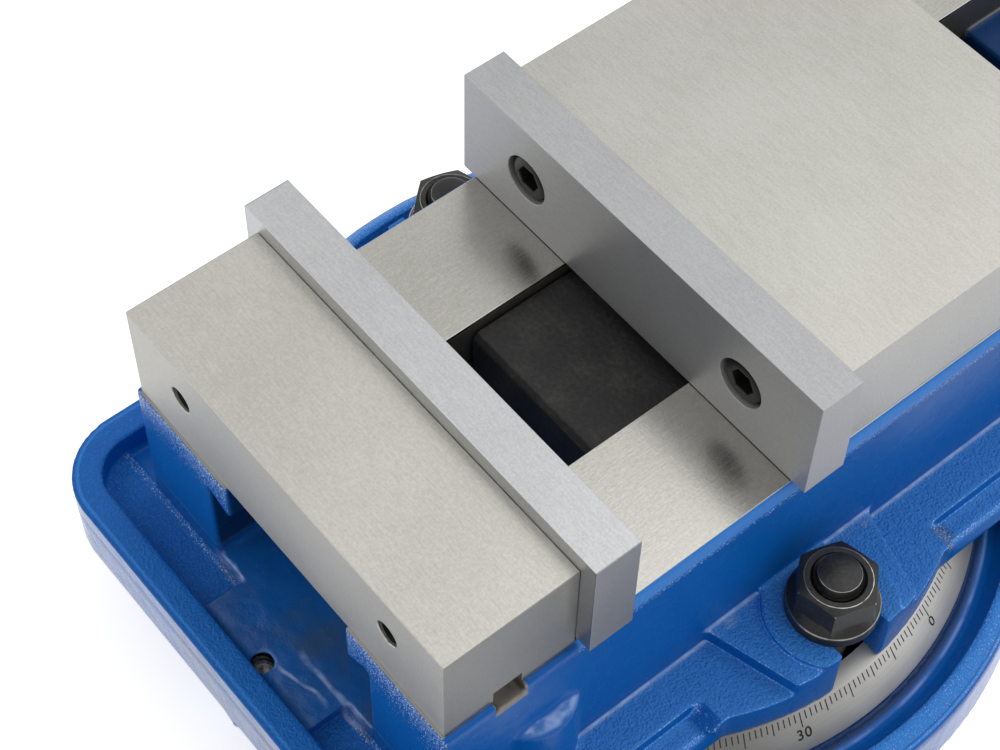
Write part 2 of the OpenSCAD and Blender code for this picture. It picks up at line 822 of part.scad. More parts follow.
// Screws of a jaw plate in the same place as jaw_plate()
module plate_screws() {
  seat = plate_head_h + plate_head_sink;
  for (side = [-1, 1]) {
    plate_x = side * plate_screw_spacing / 2;
    difference() {
      union() {
        bar_y(plate_x, plate_screw_z, plate_head_sink, seat, plate_head_d);
        bar_y(plate_x, plate_screw_z, seat, jaw_plate_t + plate_screw_grip, plate_screw_d);
      }
      hex_y_bar(plate_x, plate_screw_z, plate_head_sink - cut, plate_head_sink + plate_head_h / 2, plate_socket_af);
    }
  }
}

module fixed_jaw_plate() {
  color(plate_grey) translate([0, fixed_face_y, 0]) mirror([0, 1, 0]) jaw_plate();
}

module fixed_plate_screws() {
  color(black) translate([0, fixed_face_y, 0]) mirror([0, 1, 0]) plate_screws();
}

module movable_jaw_plate() {
  color(plate_grey) translate([0, move_face_y, 0]) jaw_plate();
}

module movable_plate_screws() {
  color(black) translate([0, move_face_y, 0]) plate_screws();
}

// Room for the hook in the movable jaw
module hook_room() {
  half = slot_w / 2 - hook_side_gap + 2;
  roof = movable_jaw_h - jaw_roof;
  foot = move_jaw_y + wedge_foot;
  along_x(-half, half) polygon([
    [foot + cut, way_z - cut], [foot - roof, way_z + roof],
    [jaw_rear_y - jaw_rear_wall, way_z + roof], [jaw_rear_y - jaw_rear_wall, way_z - cut]
  ]);
}

// Ball on the sloping face
module wedge_ball(r) {
  translate([0, move_jaw_y + wedge_foot - ball_h, way_z + ball_h]) sphere(r = r);
}

module movable_jaw() {
  color(ground) difference() {
    box([-jaw_w / 2, move_jaw_y, way_z], [jaw_w / 2, jaw_rear_y, way_z + movable_jaw_h]);
    hook_room();
    wedge_ball(ball_r + run_gap);
    for (side = [-1, 1]) {
      bar_y(
        side * plate_screw_spacing / 2, plate_screw_z, move_jaw_y - cut, move_jaw_y + plate_screw_grip + 2,
        plate_screw_d + 2 * thread_gap
      );
    }
    bar_y(
      0, way_z + set_screw_h, jaw_rear_y - jaw_rear_wall - cut, jaw_rear_y + cut,
      set_screw_d + 2 * thread_gap
    );
  }
}

module half_ball() {
  color(bright) difference() {
    wedge_ball(ball_r);
    translate([0, move_jaw_y + wedge_foot - ball_h, way_z + ball_h]) rotate([-45, 0, 0]) {
      translate([-2 * ball_r, -2 * ball_r, 0]) cube(4 * ball_r);
    }
  }
}

module drive_nut() {
  front_y = move_face_y - nut_lead;
  rear_y = front_y + nut_len;
  low_half = channel_w / 2 - channel_gap;
  top_half = slot_w / 2 - slot_gap;
  hook_half = slot_w / 2 - hook_side_gap;
  top_z = way_z - nut_drop;
  roof = movable_jaw_h - jaw_roof - 3;
  foot = move_jaw_y + wedge_foot + wedge_gap * sqrt(2);
  color(black) difference() {
    union() {
      box([-low_half, front_y, floor_z + channel_gap], [low_half, rear_y, lip_z - channel_gap]);
      along_x(-top_half, top_half) polygon([
        [front_y, lip_z - channel_gap - cut], [front_y, top_z - nut_bevel], [front_y + nut_bevel, top_z],
        [rear_y, top_z], [rear_y, lip_z - channel_gap - cut]
      ]);
      along_x(-hook_half, hook_half) polygon([
        [foot + nut_drop + cut, top_z - cut], [foot - roof + 2, way_z + roof - 2], [foot - roof + 2, way_z + roof],
        [hook_y, way_z + roof], [hook_y, top_z - cut]
      ]);
    }
    bar_y(0, screw_z, front_y - cut, rear_y + cut, screw_d + 2 * thread_gap);
  }
}

module nut_set_screw() {
  z = way_z + set_screw_h;
  end_y = jaw_rear_y - set_screw_sink;
  color(black) difference() {
    bar_y(0, z, hook_y + wedge_gap, end_y, set_screw_d);
    hex_y_bar(0, z, end_y - set_screw_d / 2, end_y + cut, set_screw_d / 2);
  }
}

// Points of one thread ridge, as radius and distance along the axis
function ridge(turn) = [
  [screw_d / 2 - thread_depth, (turn + 0.07) * screw_pitch],
  [screw_d / 2, (turn + 0.32) * screw_pitch],
  [screw_d / 2, (turn + 0.68) * screw_pitch],
  [screw_d / 2 - thread_depth, (turn + 0.93) * screw_pitch]
];

// Half section of the lead screw up to the end of its journal
function screw_outline() = concat(
  [[0, 0], [screw_d / 2 - thread_depth, 0]],
  [for (turn = [0 : thread_turns - 1]) each ridge(turn)],
  [
    [screw_d / 2 - thread_depth, shoulder_y - thread_y],
    [shoulder_d / 2, shoulder_y - thread_y],
    [shoulder_d / 2, bearing_y - thread_y],
    [journal_d / 2, bearing_y - thread_y],
    [journal_d / 2, hex_y - thread_y],
    [0, hex_y - thread_y]
  ]
);

module lead_screw() {
  color(bright) union() {
    translate([0, thread_y, screw_z]) rotate([-90, 0, 0]) rotate_extrude() polygon(screw_outline());
    with_crank() hex_y_bar(0, screw_z, hex_y - cut, hex_y + hex_len, hex_af);
  }
}

module thrust_race_turning() {
  color(bright) ring_y(bearing_y, bearing_y + race_t, race_d, journal_d + 2 * press_gap);
}

module thrust_race_fixed() {
  color(bright) ring_y(race_y, wall_y, race_d, journal_d + 1);
}

// Balls of the thrust bearing, or the pockets for them
module bearing_circle() {
  r = (race_d + journal_d) / 4;
  for (turn = [0 : bearing_balls - 1]) {
    translate([0, race_y - bearing_ball_r - run_gap, screw_z]) rotate([0, turn * 360 / bearing_balls, 0]) {
      translate([r, 0, 0]) children();
    }
  }
}

module thrust_cage() {
  mid_y = race_y - bearing_ball_r - run_gap;
  color(bronze) difference() {
    ring_y(mid_y - cage_t / 2, mid_y + cage_t / 2, race_d - 1, journal_d + 1);
    bearing_circle() rotate([-90, 0, 0]) {
      cylinder(r = bearing_ball_r + 2 * run_gap, h = cage_t + 2 * cut, center = true);
    }
  }
}

module thrust_balls() {
  color(bright) bearing_circle() sphere(r = bearing_ball_r);
}

module screw_bush() {
  color(bronze) ring_y(wall_y, bed_rear, bush_d, journal_d + 2 * run_gap);
}

// Tapped hole of the collar, or the screw in it
module collar_screw_bar(d, r0, r1) {
  translate([0, bed_rear + run_gap + collar_len / 2, screw_z]) {
    translate([0, 0, r0]) cylinder(d = d, h = r1 - r0);
  }
}

module screw_collar() {
  color(bright) difference() {
    ring_y(bed_rear + run_gap, bed_rear + run_gap + collar_len, collar_d, journal_d + 2 * press_gap);
    collar_screw_bar(collar_screw_d + 2 * thread_gap, 0, collar_d);
  }
}

module collar_set_screw() {
  color(black) difference() {
    collar_screw_bar(collar_screw_d, journal_d / 2 + run_gap, collar_d / 2 - 1);
    translate([0, bed_rear + run_gap + collar_len / 2, screw_z + collar_d / 2 - 1 - collar_screw_d / 2]) {
      cylinder(d = collar_screw_d / 2 / cos(30), h = collar_screw_d, $fn = 6);
    }
  }
}

// Places its child at each cap screw, on the screw axis level
module at_cap_screws() {
  for (side = [-1, 1]) {
    for (up = [-1, 1]) {
      translate([side * cap_screw_x, 0, up * cap_screw_z]) children();
    }
  }
}

// Plan of the cap in X and Z
module cap_plan() {
  for (side = [-1, 1]) {
    translate([side * cap_half, screw_z]) circle(r = cap_r);
  }
  translate([-cap_half, screw_z - cap_r]) square([2 * cap_half, 2 * cap_r]);
}

module bearing_cap() {
  color(bright) difference() {
    along_y(bed_rear, cap_y) cap_plan();
    bar_y(0, screw_z, bed_rear - cut, cap_y - cap_wall, collar_d + 2);
    bar_y(0, screw_z, bed_rear - cut, cap_y + cut, journal_d + 1);
    at_cap_screws() {
      bar_y(0, screw_z, bed_rear - cut, cap_y + cut, cap_screw_d + bolt_room / 2);
      bar_y(0, screw_z, cap_y - cap_head_h - 0.5, cap_y + cut, cap_head_d + head_room / 2);
    }
  }
}

module bearing_cap_screws() {
  seat_y = cap_y - cap_head_h - 0.5;
  color(black) at_cap_screws() difference() {
    union() {
      bar_y(0, screw_z, seat_y, seat_y + cap_head_h, cap_head_d);
      bar_y(0, screw_z, bed_rear - cap_screw_grip, seat_y, cap_screw_d);
    }
    hex_y_bar(0, screw_z, seat_y + cap_head_h / 2, cap_y + cut, 5 / 6 * cap_screw_d);
  }
}

module crank_arm() {
  color(black) with_crank() difference() {
    union() {
      bar_y(0, screw_z, hub_y, hub_y + hub_len, hub_d);
      box([0, arm_y, screw_z - arm_w / 2], [crank_r, arm_y + arm_t, screw_z + arm_w / 2]);
      bar_y(crank_r, screw_z, arm_y, arm_y + arm_t, arm_end_d);
    }
    hex_y_bar(0, screw_z, hub_y - cut, hub_y + hub_len + cut, hex_af + 2 * run_gap);
    bar_y(crank_r, screw_z, arm_y - cut, arm_y + arm_t + cut, spindle_d + 2 * press_gap);
  }
}

module crank_spindle() {
  end_y = grip_y + grip_len + run_gap;
  color(bright) with_crank() {
    bar_y(crank_r, screw_z, arm_y, end_y, spindle_d);
    bar_y(crank_r, screw_z, end_y, end_y + spindle_head_t, spindle_head_d);
  }
}

// Half section of the grip, as radius and distance along it
function grip_outline() = [
  [spindle_d / 2 + run_gap, 0],
  [grip_d / 2 - 4, 0],
  [grip_d / 2 - 2, 2],
  [grip_d / 2 - 1, grip_len / 4],
  [grip_d / 2, grip_len * 0.6],
  [grip_d / 2 - 1, grip_len - 8],
  [grip_d / 2 - 4, grip_len],
  [spindle_d / 2 + run_gap, grip_len]
];

module crank_grip() {
  color(black) with_crank() translate([crank_r, grip_y, screw_z]) rotate([-90, 0, 0]) {
    rotate_extrude() polygon(grip_outline());
  }
}

swivel_base();
pivot_plug();
bed();
chip_tray();
t_bolts();
flange_nuts();
fixed_jaw();
fixed_jaw_keys();
fixed_jaw_bolts();
fixed_jaw_plate();
fixed_plate_screws();
movable_jaw();
movable_jaw_plate();
movable_plate_screws();
drive_nut();
half_ball();
nut_set_screw();
lead_screw();
thrust_race_turning();
thrust_race_fixed();
thrust_cage();
thrust_balls();
screw_bush();
screw_collar();
collar_set_screw();
bearing_cap();
bearing_cap_screws();
crank_arm();
crank_spindle();
crank_grip();
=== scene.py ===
"""Dresses the swivel machine vise: castings, ground jaws, dial, fasteners, finishes and studio.

Sizes of the pieces and limits of the masks are in millimetres in the row frame. Meshes, bumps and the
studio are in metres, and noises have cells in a metre.
"""
import json
import logging
import math
from collections.abc import Callable, Iterable, Sequence
from dataclasses import dataclass, field, fields
from enum import Enum

import bmesh
import bpy
import numpy as np
from bmesh.types import BMesh, BMVert
from bpy.types import ID, Material, Mesh, Node, NodeSocket, NodeTree, Object
from mathutils import Matrix, Vector

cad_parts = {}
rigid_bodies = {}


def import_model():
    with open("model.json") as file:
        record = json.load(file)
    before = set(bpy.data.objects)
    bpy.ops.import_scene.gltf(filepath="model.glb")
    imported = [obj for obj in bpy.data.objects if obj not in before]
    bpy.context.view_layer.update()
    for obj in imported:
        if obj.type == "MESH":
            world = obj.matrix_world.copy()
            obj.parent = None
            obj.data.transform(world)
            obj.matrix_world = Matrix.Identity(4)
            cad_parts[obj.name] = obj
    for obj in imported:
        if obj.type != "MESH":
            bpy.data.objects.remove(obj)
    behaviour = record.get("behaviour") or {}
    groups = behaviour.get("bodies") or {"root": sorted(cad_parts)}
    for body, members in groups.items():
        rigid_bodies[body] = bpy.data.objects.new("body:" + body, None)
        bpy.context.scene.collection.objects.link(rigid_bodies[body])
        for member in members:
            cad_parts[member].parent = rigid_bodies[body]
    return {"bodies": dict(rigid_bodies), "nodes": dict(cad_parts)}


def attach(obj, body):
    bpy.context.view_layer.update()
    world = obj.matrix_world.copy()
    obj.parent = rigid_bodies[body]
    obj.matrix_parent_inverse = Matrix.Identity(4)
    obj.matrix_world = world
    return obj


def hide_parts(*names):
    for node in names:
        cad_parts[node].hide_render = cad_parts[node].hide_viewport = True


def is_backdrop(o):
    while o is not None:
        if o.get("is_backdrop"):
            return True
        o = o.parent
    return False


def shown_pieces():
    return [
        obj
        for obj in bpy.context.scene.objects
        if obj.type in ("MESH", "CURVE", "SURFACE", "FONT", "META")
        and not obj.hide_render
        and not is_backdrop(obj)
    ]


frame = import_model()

Colour = tuple[float, float, float, float]
Point = tuple[float, float, float]
Pair = tuple[float, float]
MM = 0.001
SIDES = (-1, 1)
ORIGIN: Point = (0.0, 0.0, 0.0)
WHITE: Colour = (1.0, 1.0, 1.0, 1.0)
BLACK: Colour = (0.0, 0.0, 0.0, 1.0)
# Least angle of a sharp edge, in degrees
SHARP = 30.0
SHARP_CAST = 70.0
SHARP_RUBBED = 24.0
SHARP_SCREW = 28.0
# Most angle between faces of one plane, in degrees
SAME_PLANE = 0.2
# Most distance in metres between corners that are one, in a CAD mesh and in a turned one
SAME_PLACE = 2e-6
SAME_CORNER = 1e-7
# Most length in metres of an edge that is dropped
NO_LENGTH = 1e-8
# Height of a dial mark in millimetres
MARK_H = 0.03
# Widths of a thread's ridge, as shares of its pitch
THREAD_FOOT = 0.86
THREAD_CREST = 0.36
# Steps of a thread in one turn
THREAD_STEPS = 40
log = logging.getLogger("vise")


class Slot(Enum):
    """Material slots of the record."""

    ENAMEL = "blue_enamel"
    IRON = "ground_iron"
    PLATE = "plate_steel"
    STEEL = "bright_steel"
    BLACK = "black_oxide"
    BRONZE = "bronze"
    PLASTIC = "black_plastic"


class Body(Enum):
    """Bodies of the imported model."""

    BASE = "base"
    BED = "bed_body"
    CARRIAGE = "carriage"
    SCREW = "screw"
    CAGE = "bearing_cage"
    GRIP = "grip"


class Value:
    """A node socket that takes part in arithmetic."""

    def __init__(self, graph: "Graph", socket: NodeSocket) -> None:
        """Keeps the socket and the graph that it belongs to."""
        self.graph = graph
        self.socket = socket

    def __add__(self, other: "Value | float") -> "Value":
        """Sum."""
        return self.graph.math("ADD", self, other)

    def __radd__(self, other: "Value | float") -> "Value":
        """Sum with the number first."""
        return self.graph.math("ADD", other, self)

    def __sub__(self, other: "Value | float") -> "Value":
        """Difference."""
        return self.graph.math("SUBTRACT", self, other)

    def __rsub__(self, other: "Value | float") -> "Value":
        """Difference with the number first."""
        return self.graph.math("SUBTRACT", other, self)

    def __mul__(self, other: "Value | float") -> "Value":
        """Product."""
        return self.graph.math("MULTIPLY", self, other)

    def __rmul__(self, other: "Value | float") -> "Value":
        """Product with the number first."""
        return self.graph.math("MULTIPLY", other, self)

    def __truediv__(self, other: "Value | float") -> "Value":
        """Quotient."""
        return self.graph.math("DIVIDE", self, other)

    def __rtruediv__(self, other: "Value | float") -> "Value":
        """Quotient with the number first."""
        return self.graph.math("DIVIDE", other, self)


class Graph:
    """A node tree with one way to add any node."""

    def __init__(self, tree: NodeTree) -> None:
        """Keeps the tree."""
        self.tree = tree

    def node(self, kind: str, settings: dict | None = None, inputs: dict | None = None) -> Node:
        """Adds a node.

        Args:
            kind: Blender's type name of the node.
            settings: properties of the node, set before the sockets.
            inputs: socket names or numbers with their numbers or links.

        Returns:
            The new node.
        """
        made = self.tree.nodes.new(kind)
        settle(made, **(settings or {}))
        for key, value in (inputs or {}).items():
            if isinstance(value, Value):
                self.tree.links.new(value.socket, made.inputs[key])
            else:
                made.inputs[key].default_value = value
        return made

    def value(self, kind: str, settings: dict | None = None, inputs: dict | None = None,
              output: int | str = 0) -> Value:
        """Adds a node and returns one of its outputs."""
        return Value(self, self.node(kind, settings, inputs).outputs[output])

    def math(self, operation: str, *values: "Value | float") -> Value:
        """Adds a Math node."""
        return self.value("ShaderNodeMath", {"operation": operation}, dict(enumerate(values)))

    def seen(self) -> Value:
        """1 for rays from the camera, straight or by a reflection or through glass, and 0 for other rays.

        Returns:
            The mask.
        """
        path = self.node("ShaderNodeLightPath")
        rays = [Value(self, path.outputs[f"Is {kind} Ray"]) for kind in ("Camera", "Glossy", "Transmission")]
        return self.math("MAXIMUM", self.math("MAXIMUM", rays[0], rays[1]), rays[2])


class Shader(Graph):
    """A material under construction."""

    def __init__(self, name: str) -> None:
        """Starts an empty material.

        Args:
            name: its name.
        """
        self.material = bpy.data.materials.new(name)
        self.material.use_nodes = True
        super().__init__(self.material.node_tree)
        self.tree.nodes.clear()
        self.place = self.value("ShaderNodeTexCoord", output="Object")

    def axes(self) -> tuple[Value, Value, Value]:
        """The three object coordinates."""
        parts = self.node("ShaderNodeSeparateXYZ", inputs={0: self.place})
        return tuple(Value(self, socket) for socket in parts.outputs)

    def millimetres(self) -> tuple[Value, Value, Value]:
        """The three object coordinates in millimetres."""
        return tuple(value * (1 / MM) for value in self.axes())

    def upward(self) -> Value:
        """How far the surface faces up, from -1 to 1."""
        normal = self.value("ShaderNodeNewGeometry", output="Normal")
        return self.value("ShaderNodeSeparateXYZ", inputs={0: normal}, output=2)

    def vector(self, x: Value | float, y: Value | float, z: Value | float) -> Value:
        """A vector from three numbers."""
        return self.value("ShaderNodeCombineXYZ", inputs={0: x, 1: y, 2: z})

    def far(self, a: Value, b: Value) -> Value:
        """Distance of a point in a plane from that plane's origin."""
        return self.math("SQRT", a * a + b * b)

    def noise(self, scale: float, detail: float = 2.0, stretch: Point | None = None,
              place: Value | None = None) -> Value:
        """Noise from 0 to 1.

        Args:
            scale: cells in a metre.
            detail: octaves.
            stretch: factors on the three axes, if any.
            place: where to read it, the object coordinates if left out.

        Returns:
            The noise.
        """
        where = place or self.place
        if stretch:
            where = self.value("ShaderNodeVectorMath", {"operation": "MULTIPLY"}, {0: where, 1: stretch})
        return self.value("ShaderNodeTexNoise", inputs={"Vector": where, "Scale": scale, "Detail": detail})

    def attribute(self, name: str) -> Value:
        """A number stored on the mesh."""
        return self.value("ShaderNodeAttribute", {"attribute_name": name}, output="Fac")

    def ramp(self, value: Value, low: float, high: float) -> Value:
        """A smooth step from 0 at low to 1 at high."""
        return self.value("ShaderNodeMapRange", {"interpolation_type": "SMOOTHSTEP"},
                          {0: value, 1: low, 2: high, 3: 0.0, 4: 1.0})

    def band(self, value: Value, low: float, high: float, soft: float) -> Value:
        """A soft-edged 1 between two numbers and 0 elsewhere."""
        return self.ramp(value, low - soft, low + soft) * self.ramp(value, high + soft, high - soft)

    def most(self, *values: Value) -> Value:
        """The greatest of some numbers.

        Args:
            values: the numbers.

        Returns:
            The greatest.
        """
        best = values[0]
        for value in values[1:]:
            best = self.math("MAXIMUM", best, value)
        return best

    def mix(self, share: Value | float, first: Value | Colour, second: Value | Colour) -> Value:
        """A colour between two others."""
        return self.value("ShaderNodeMix", {"data_type": "RGBA"}, {0: share, 6: first, 7: second}, output=2)

    def bump(self, height: Value, distance: float) -> Value:
        """A normal from a height."""
        return self.value("ShaderNodeBump", inputs={"Strength": 1.0, "Distance": distance, "Height": height})

    def close(self, inputs: dict) -> Material:
        """Ends the material in a Principled BSDF.

        Args:
            inputs: the shader's sockets.

        Returns:
            The material.
        """
        surface = self.value("ShaderNodeBsdfPrincipled", inputs=inputs)
        self.node("ShaderNodeOutputMaterial", inputs={0: surface})
        return self.material


class Recipe(Graph):
    """A Geometry Nodes tree with named inputs."""

    def __init__(self, name: str) -> None:
        """Starts a tree with one geometry in and one out.

        Args:
            name: its name.
        """
        super().__init__(bpy.data.node_groups.new(name, "GeometryNodeTree"))
        self.tree.interface.new_socket("Geometry", in_out="INPUT", socket_type="NodeSocketGeometry")
        self.tree.interface.new_socket("Geometry", in_out="OUTPUT", socket_type="NodeSocketGeometry")
        self.source = self.tree.nodes.new("NodeGroupInput")
        self.sink = self.tree.nodes.new("NodeGroupOutput")

    def given(self, name: str, kind: str = "NodeSocketFloat") -> Value:
        """Adds a named input and returns its socket."""
        self.tree.interface.new_socket(name, in_out="INPUT", socket_type=kind)
        return Value(self, self.source.outputs[name])

    def host(self) -> Value:
        """The geometry of the object that carries the tree."""
        return Value(self, self.source.outputs["Geometry"])

    def close(self, geometry: Value, material: Material) -> None:
        """Realizes the geometry, sets its material and ends the tree.

        Args:
            geometry: what the tree has made.
            material: its material.
        """
        real = self.value("GeometryNodeRealizeInstances", inputs={0: geometry})
        dressed = self.value("GeometryNodeSetMaterial", inputs={0: real, "Material": material})
        self.tree.links.new(dressed.socket, self.sink.inputs[0])

    def mesh(self, points: Iterable[Point], given: dict) -> Mesh:
        """Runs the tree on a mesh of loose points.

        Args:
            points: their places in millimetres.
            given: the named inputs.

        Returns:
            The plain mesh.
        """
        dots = bpy.data.meshes.new("points")
        dots.from_pydata([tuple(MM * c for c in point) for point in points], [], [])
        host = placed("helper", dots)
        modifier = host.modifiers.new(self.tree.name, "NODES")
        modifier.node_group = self.tree
        for item in self.tree.interface.items_tree:
            if item.in_out == "INPUT" and item.name in given:
                modifier[item.identifier] = given[item.name]
        made = evaluated(host)
        drop(host)
        return made


def settle(thing: object, **settings: object) -> None:
    """Sets properties of something of Blender's."""
    for name, value in settings.items():
        setattr(thing, name, value)


def evaluated(thing: Object) -> Mesh:
    """The object's mesh with its modifiers, as a plain mesh.

    Args:
        thing: the object.

    Returns:
        The mesh.
    """
    bpy.context.view_layer.update()
    graph = bpy.context.evaluated_depsgraph_get()
    return bpy.data.meshes.new_from_object(thing.evaluated_get(graph))


def placed(name: str, data: ID) -> Object:
    """An object in the scene that holds a mesh, a curve, a light or a camera.

    Args:
        name: the object's name.
        data: what it holds.

    Returns:
        The object.
    """
    thing = bpy.data.objects.new(name, data)
    bpy.context.scene.collection.objects.link(thing)
    return thing


def drop(thing: Object) -> None:
    """Removes a helper object."""
    bpy.data.objects.remove(thing)


def shade(mesh: Mesh, angle: float) -> None:
    """Smooth shading with sharp edges above an angle in degrees."""
    mesh.polygons.foreach_set("use_smooth", [True] * len(mesh.polygons))
    mesh.set_sharp_from_angle(angle=math.radians(angle))


def mesh_of(work: BMesh, name: str) -> Mesh:
    """Ends a mesh under construction.

    Args:
        work: the mesh under construction, which is freed.
        name: its name.

    Returns:
        The mesh.
    """
    mesh = bpy.data.meshes.new(name)
    work.to_mesh(mesh)
    work.free()
    return mesh


def cad_mesh(node: str, flat: bool = True) -> Mesh:
    """A merged copy of a CAD node's mesh.

    Args:
        node: the CAD node's name.
        flat: whether the triangles of one plane are joined.

    Returns:
        The mesh, smooth apart from its sharp edges.
    """
    mesh = frame["nodes"][node].data.copy()
    if "custom_normal" in mesh.attributes:
        mesh.attributes.remove(mesh.attributes["custom_normal"])
    work = bmesh.new()
    work.from_mesh(mesh)
    bmesh.ops.remove_doubles(work, verts=work.verts, dist=SAME_PLACE)
    if flat:
        limit = math.radians(SAME_PLANE)
        bmesh.ops.dissolve_limit(work, angle_limit=limit, verts=work.verts, edges=work.edges)
    work.to_mesh(mesh)
    work.free()
    shade(mesh, SHARP)
    return mesh


def bevelled(mesh: Mesh, width: float, segments: int = 2, angle: float = 32) -> Mesh:
    """Breaks the sharp edges of a mesh. The new faces take the second material.

    Args:
        mesh: the mesh, in metres.
        width: width of the broken edge in millimetres.
        segments: faces across it.
        angle: least angle of an edge that is broken, in degrees.

    Returns:
        A new mesh.
    """
    while len(mesh.materials) < 2:
        mesh.materials.append(None)
    thing = placed("helper", mesh)
    settle(thing.modifiers.new("edge", "BEVEL"), width=width * MM, segments=segments, limit_method="ANGLE",
           angle_limit=math.radians(angle), harden_normals=True, material=1)
    made = evaluated(thing)
    drop(thing)
    return made


def cast_skin(nodes: Sequence[str], voxel: float, rounds: int, limit: int) -> Mesh:
    """One soft-edged skin over some CAD nodes, as a casting has.

    Args:
        nodes: the CAD nodes' names.
        voxel: grid of the remesh in millimetres.
        rounds: rounds of smoothing.
        limit: most triangles.

    Returns:
        The mesh.
    """
    thing = placed("helper", joined([cad_mesh(node, flat=False) for node in nodes]))
    settle(thing.modifiers.new("grid", "REMESH"), mode="VOXEL", voxel_size=voxel * MM)
    settle(thing.modifiers.new("soft", "SMOOTH"), factor=0.5, iterations=rounds)
    made = evaluated(thing)
    thing.modifiers.clear()
    thing.data = made
    ratio = min(1.0, limit / (2 * len(made.polygons)))
    settle(thing.modifiers.new("fewer", "DECIMATE"), ratio=ratio)
    made = evaluated(thing)
    drop(thing)
    shade(made, SHARP_CAST)
    return made


def polar(radius: float, turn: float, height: float) -> Vector:
    """A place in metres from a radius and a height in millimetres and a turn in radians."""
    return Vector([MM * c for c in (radius * math.cos(turn), radius * math.sin(turn), height)])


def turned_mesh(outline: Callable[[float], Sequence[Point]], steps: int, sharp: float = SHARP) -> Mesh:
    """A piece about the Z axis whose rubbed edges are stored on its mesh.

    Args:
        outline: gives radius, height and rub of each corner, in millimetres, at an angle in degrees.
        steps: corners round the axis.
        sharp: least angle of a sharp edge in degrees.

    Returns:
        The mesh, with the rub from 0 to 1 in the attribute "rub".
    """
    work = bmesh.new()
    rub = work.verts.layers.float.new("rub")
    rows = []
    for step in range(steps):
        turn = 2 * math.pi * step / steps
        row = []
        for radius, height, share in outline(math.degrees(turn)):
            vertex = work.verts.new(polar(radius, turn, height))
            vertex[rub] = share
            row.append(vertex)
        rows.append(row)
    for here, there in zip(rows, rows[1:] + rows[:1]):
        for k in range(len(here)):
            work.faces.new((here[k - 1], there[k - 1], there[k], here[k]))
    bmesh.ops.remove_doubles(work, verts=work.verts, dist=SAME_CORNER)
    bmesh.ops.dissolve_degenerate(work, edges=work.edges, dist=NO_LENGTH)
    bmesh.ops.recalc_face_normals(work, faces=work.faces)
    mesh = mesh_of(work, "turned")
    shade(mesh, sharp)
    return mesh


def ring_mesh(profile: Sequence[Pair], steps: int) -> Mesh:
    """A piece about the Z axis with one profile all round, and no rub.

    Args:
        profile: radius and height of each corner in millimetres.
        steps: corners round the axis.

    Returns:
        The mesh.
    """
    corners = [(radius, height, 0.0) for radius, height in profile]
    return turned_mesh(lambda angle: corners, steps)


def cut_ahead(mesh: Mesh, y: float) -> Mesh:
    """Removes what lies ahead of a plane across Y, in millimetres, and closes the cut.

    Args:
        mesh: the mesh to cut.
        y: place of the plane.

    Returns:
        The same mesh.
    """
    work = bmesh.new()
    work.from_mesh(mesh)
    everything = work.verts[:] + work.edges[:] + work.faces[:]
    bmesh.ops.bisect_plane(work, geom=everything, plane_co=(0.0, y * MM, 0.0), plane_no=(0.0, 1.0, 0.0),
                           clear_inner=True)
    bmesh.ops.holes_fill(work, edges=[e for e in work.edges if e.is_boundary])
    work.to_mesh(mesh)
    work.free()
    return mesh


def box_mesh(low: Point, high: Point) -> Mesh:
    """A block between two corners in millimetres.

    Args:
        low: the corner with the lowest coordinates.
        high: the corner opposite.

    Returns:
        The block.
    """
    work = bmesh.new()
    bmesh.ops.create_cube(work, size=1.0)
    for vertex in work.verts:
        vertex.co = Vector([MM * (a + (b - a) * (c + 0.5)) for a, b, c in zip(low, high, vertex.co)])
    return mesh_of(work, "block")


def joined(meshes: Iterable[Mesh]) -> Mesh:
    """One mesh of several, with their material numbers kept.

    Args:
        meshes: the meshes.

    Returns:
        The mesh.
    """
    work = bmesh.new()
    for mesh in meshes:
        work.from_mesh(mesh)
    return mesh_of(work, "joined")


def add_piece(name: str, mesh: Mesh, body: Body, slot: Slot,
              materials: Sequence[Material], stands_for: Sequence[str] = ()) -> None:
    """Puts a finished piece in the scene.

    Args:
        name: the piece's name.
        mesh: its mesh, in place in the row frame.
        body: the body that it rides on.
        slot: the record's material slot, which is not used.
        materials: the materials by number.
        stands_for: CAD nodes that it replaces.
    """
    mesh.name = name
    mesh.materials.clear()
    for material in materials:
        mesh.materials.append(material)
    thing = placed(name, mesh)
    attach(thing, body.value)
    if stands_for:
        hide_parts(*stands_for)


def corners_of(mesh: Mesh) -> np.ndarray:
    """Places of a mesh's vertices in millimetres.

    Args:
        mesh: the mesh.

    Returns:
        One row for each vertex.
    """
    places = np.zeros(3 * len(mesh.vertices), np.float32)
    mesh.vertices.foreach_get("co", places)
    return places.reshape(-1, 3) / MM


def put_corners(mesh: Mesh, places: np.ndarray) -> None:
    """Moves a mesh's vertices to places in millimetres."""
    mesh.vertices.foreach_set("co", (places * MM).astype(np.float32).ravel())
    mesh.update()


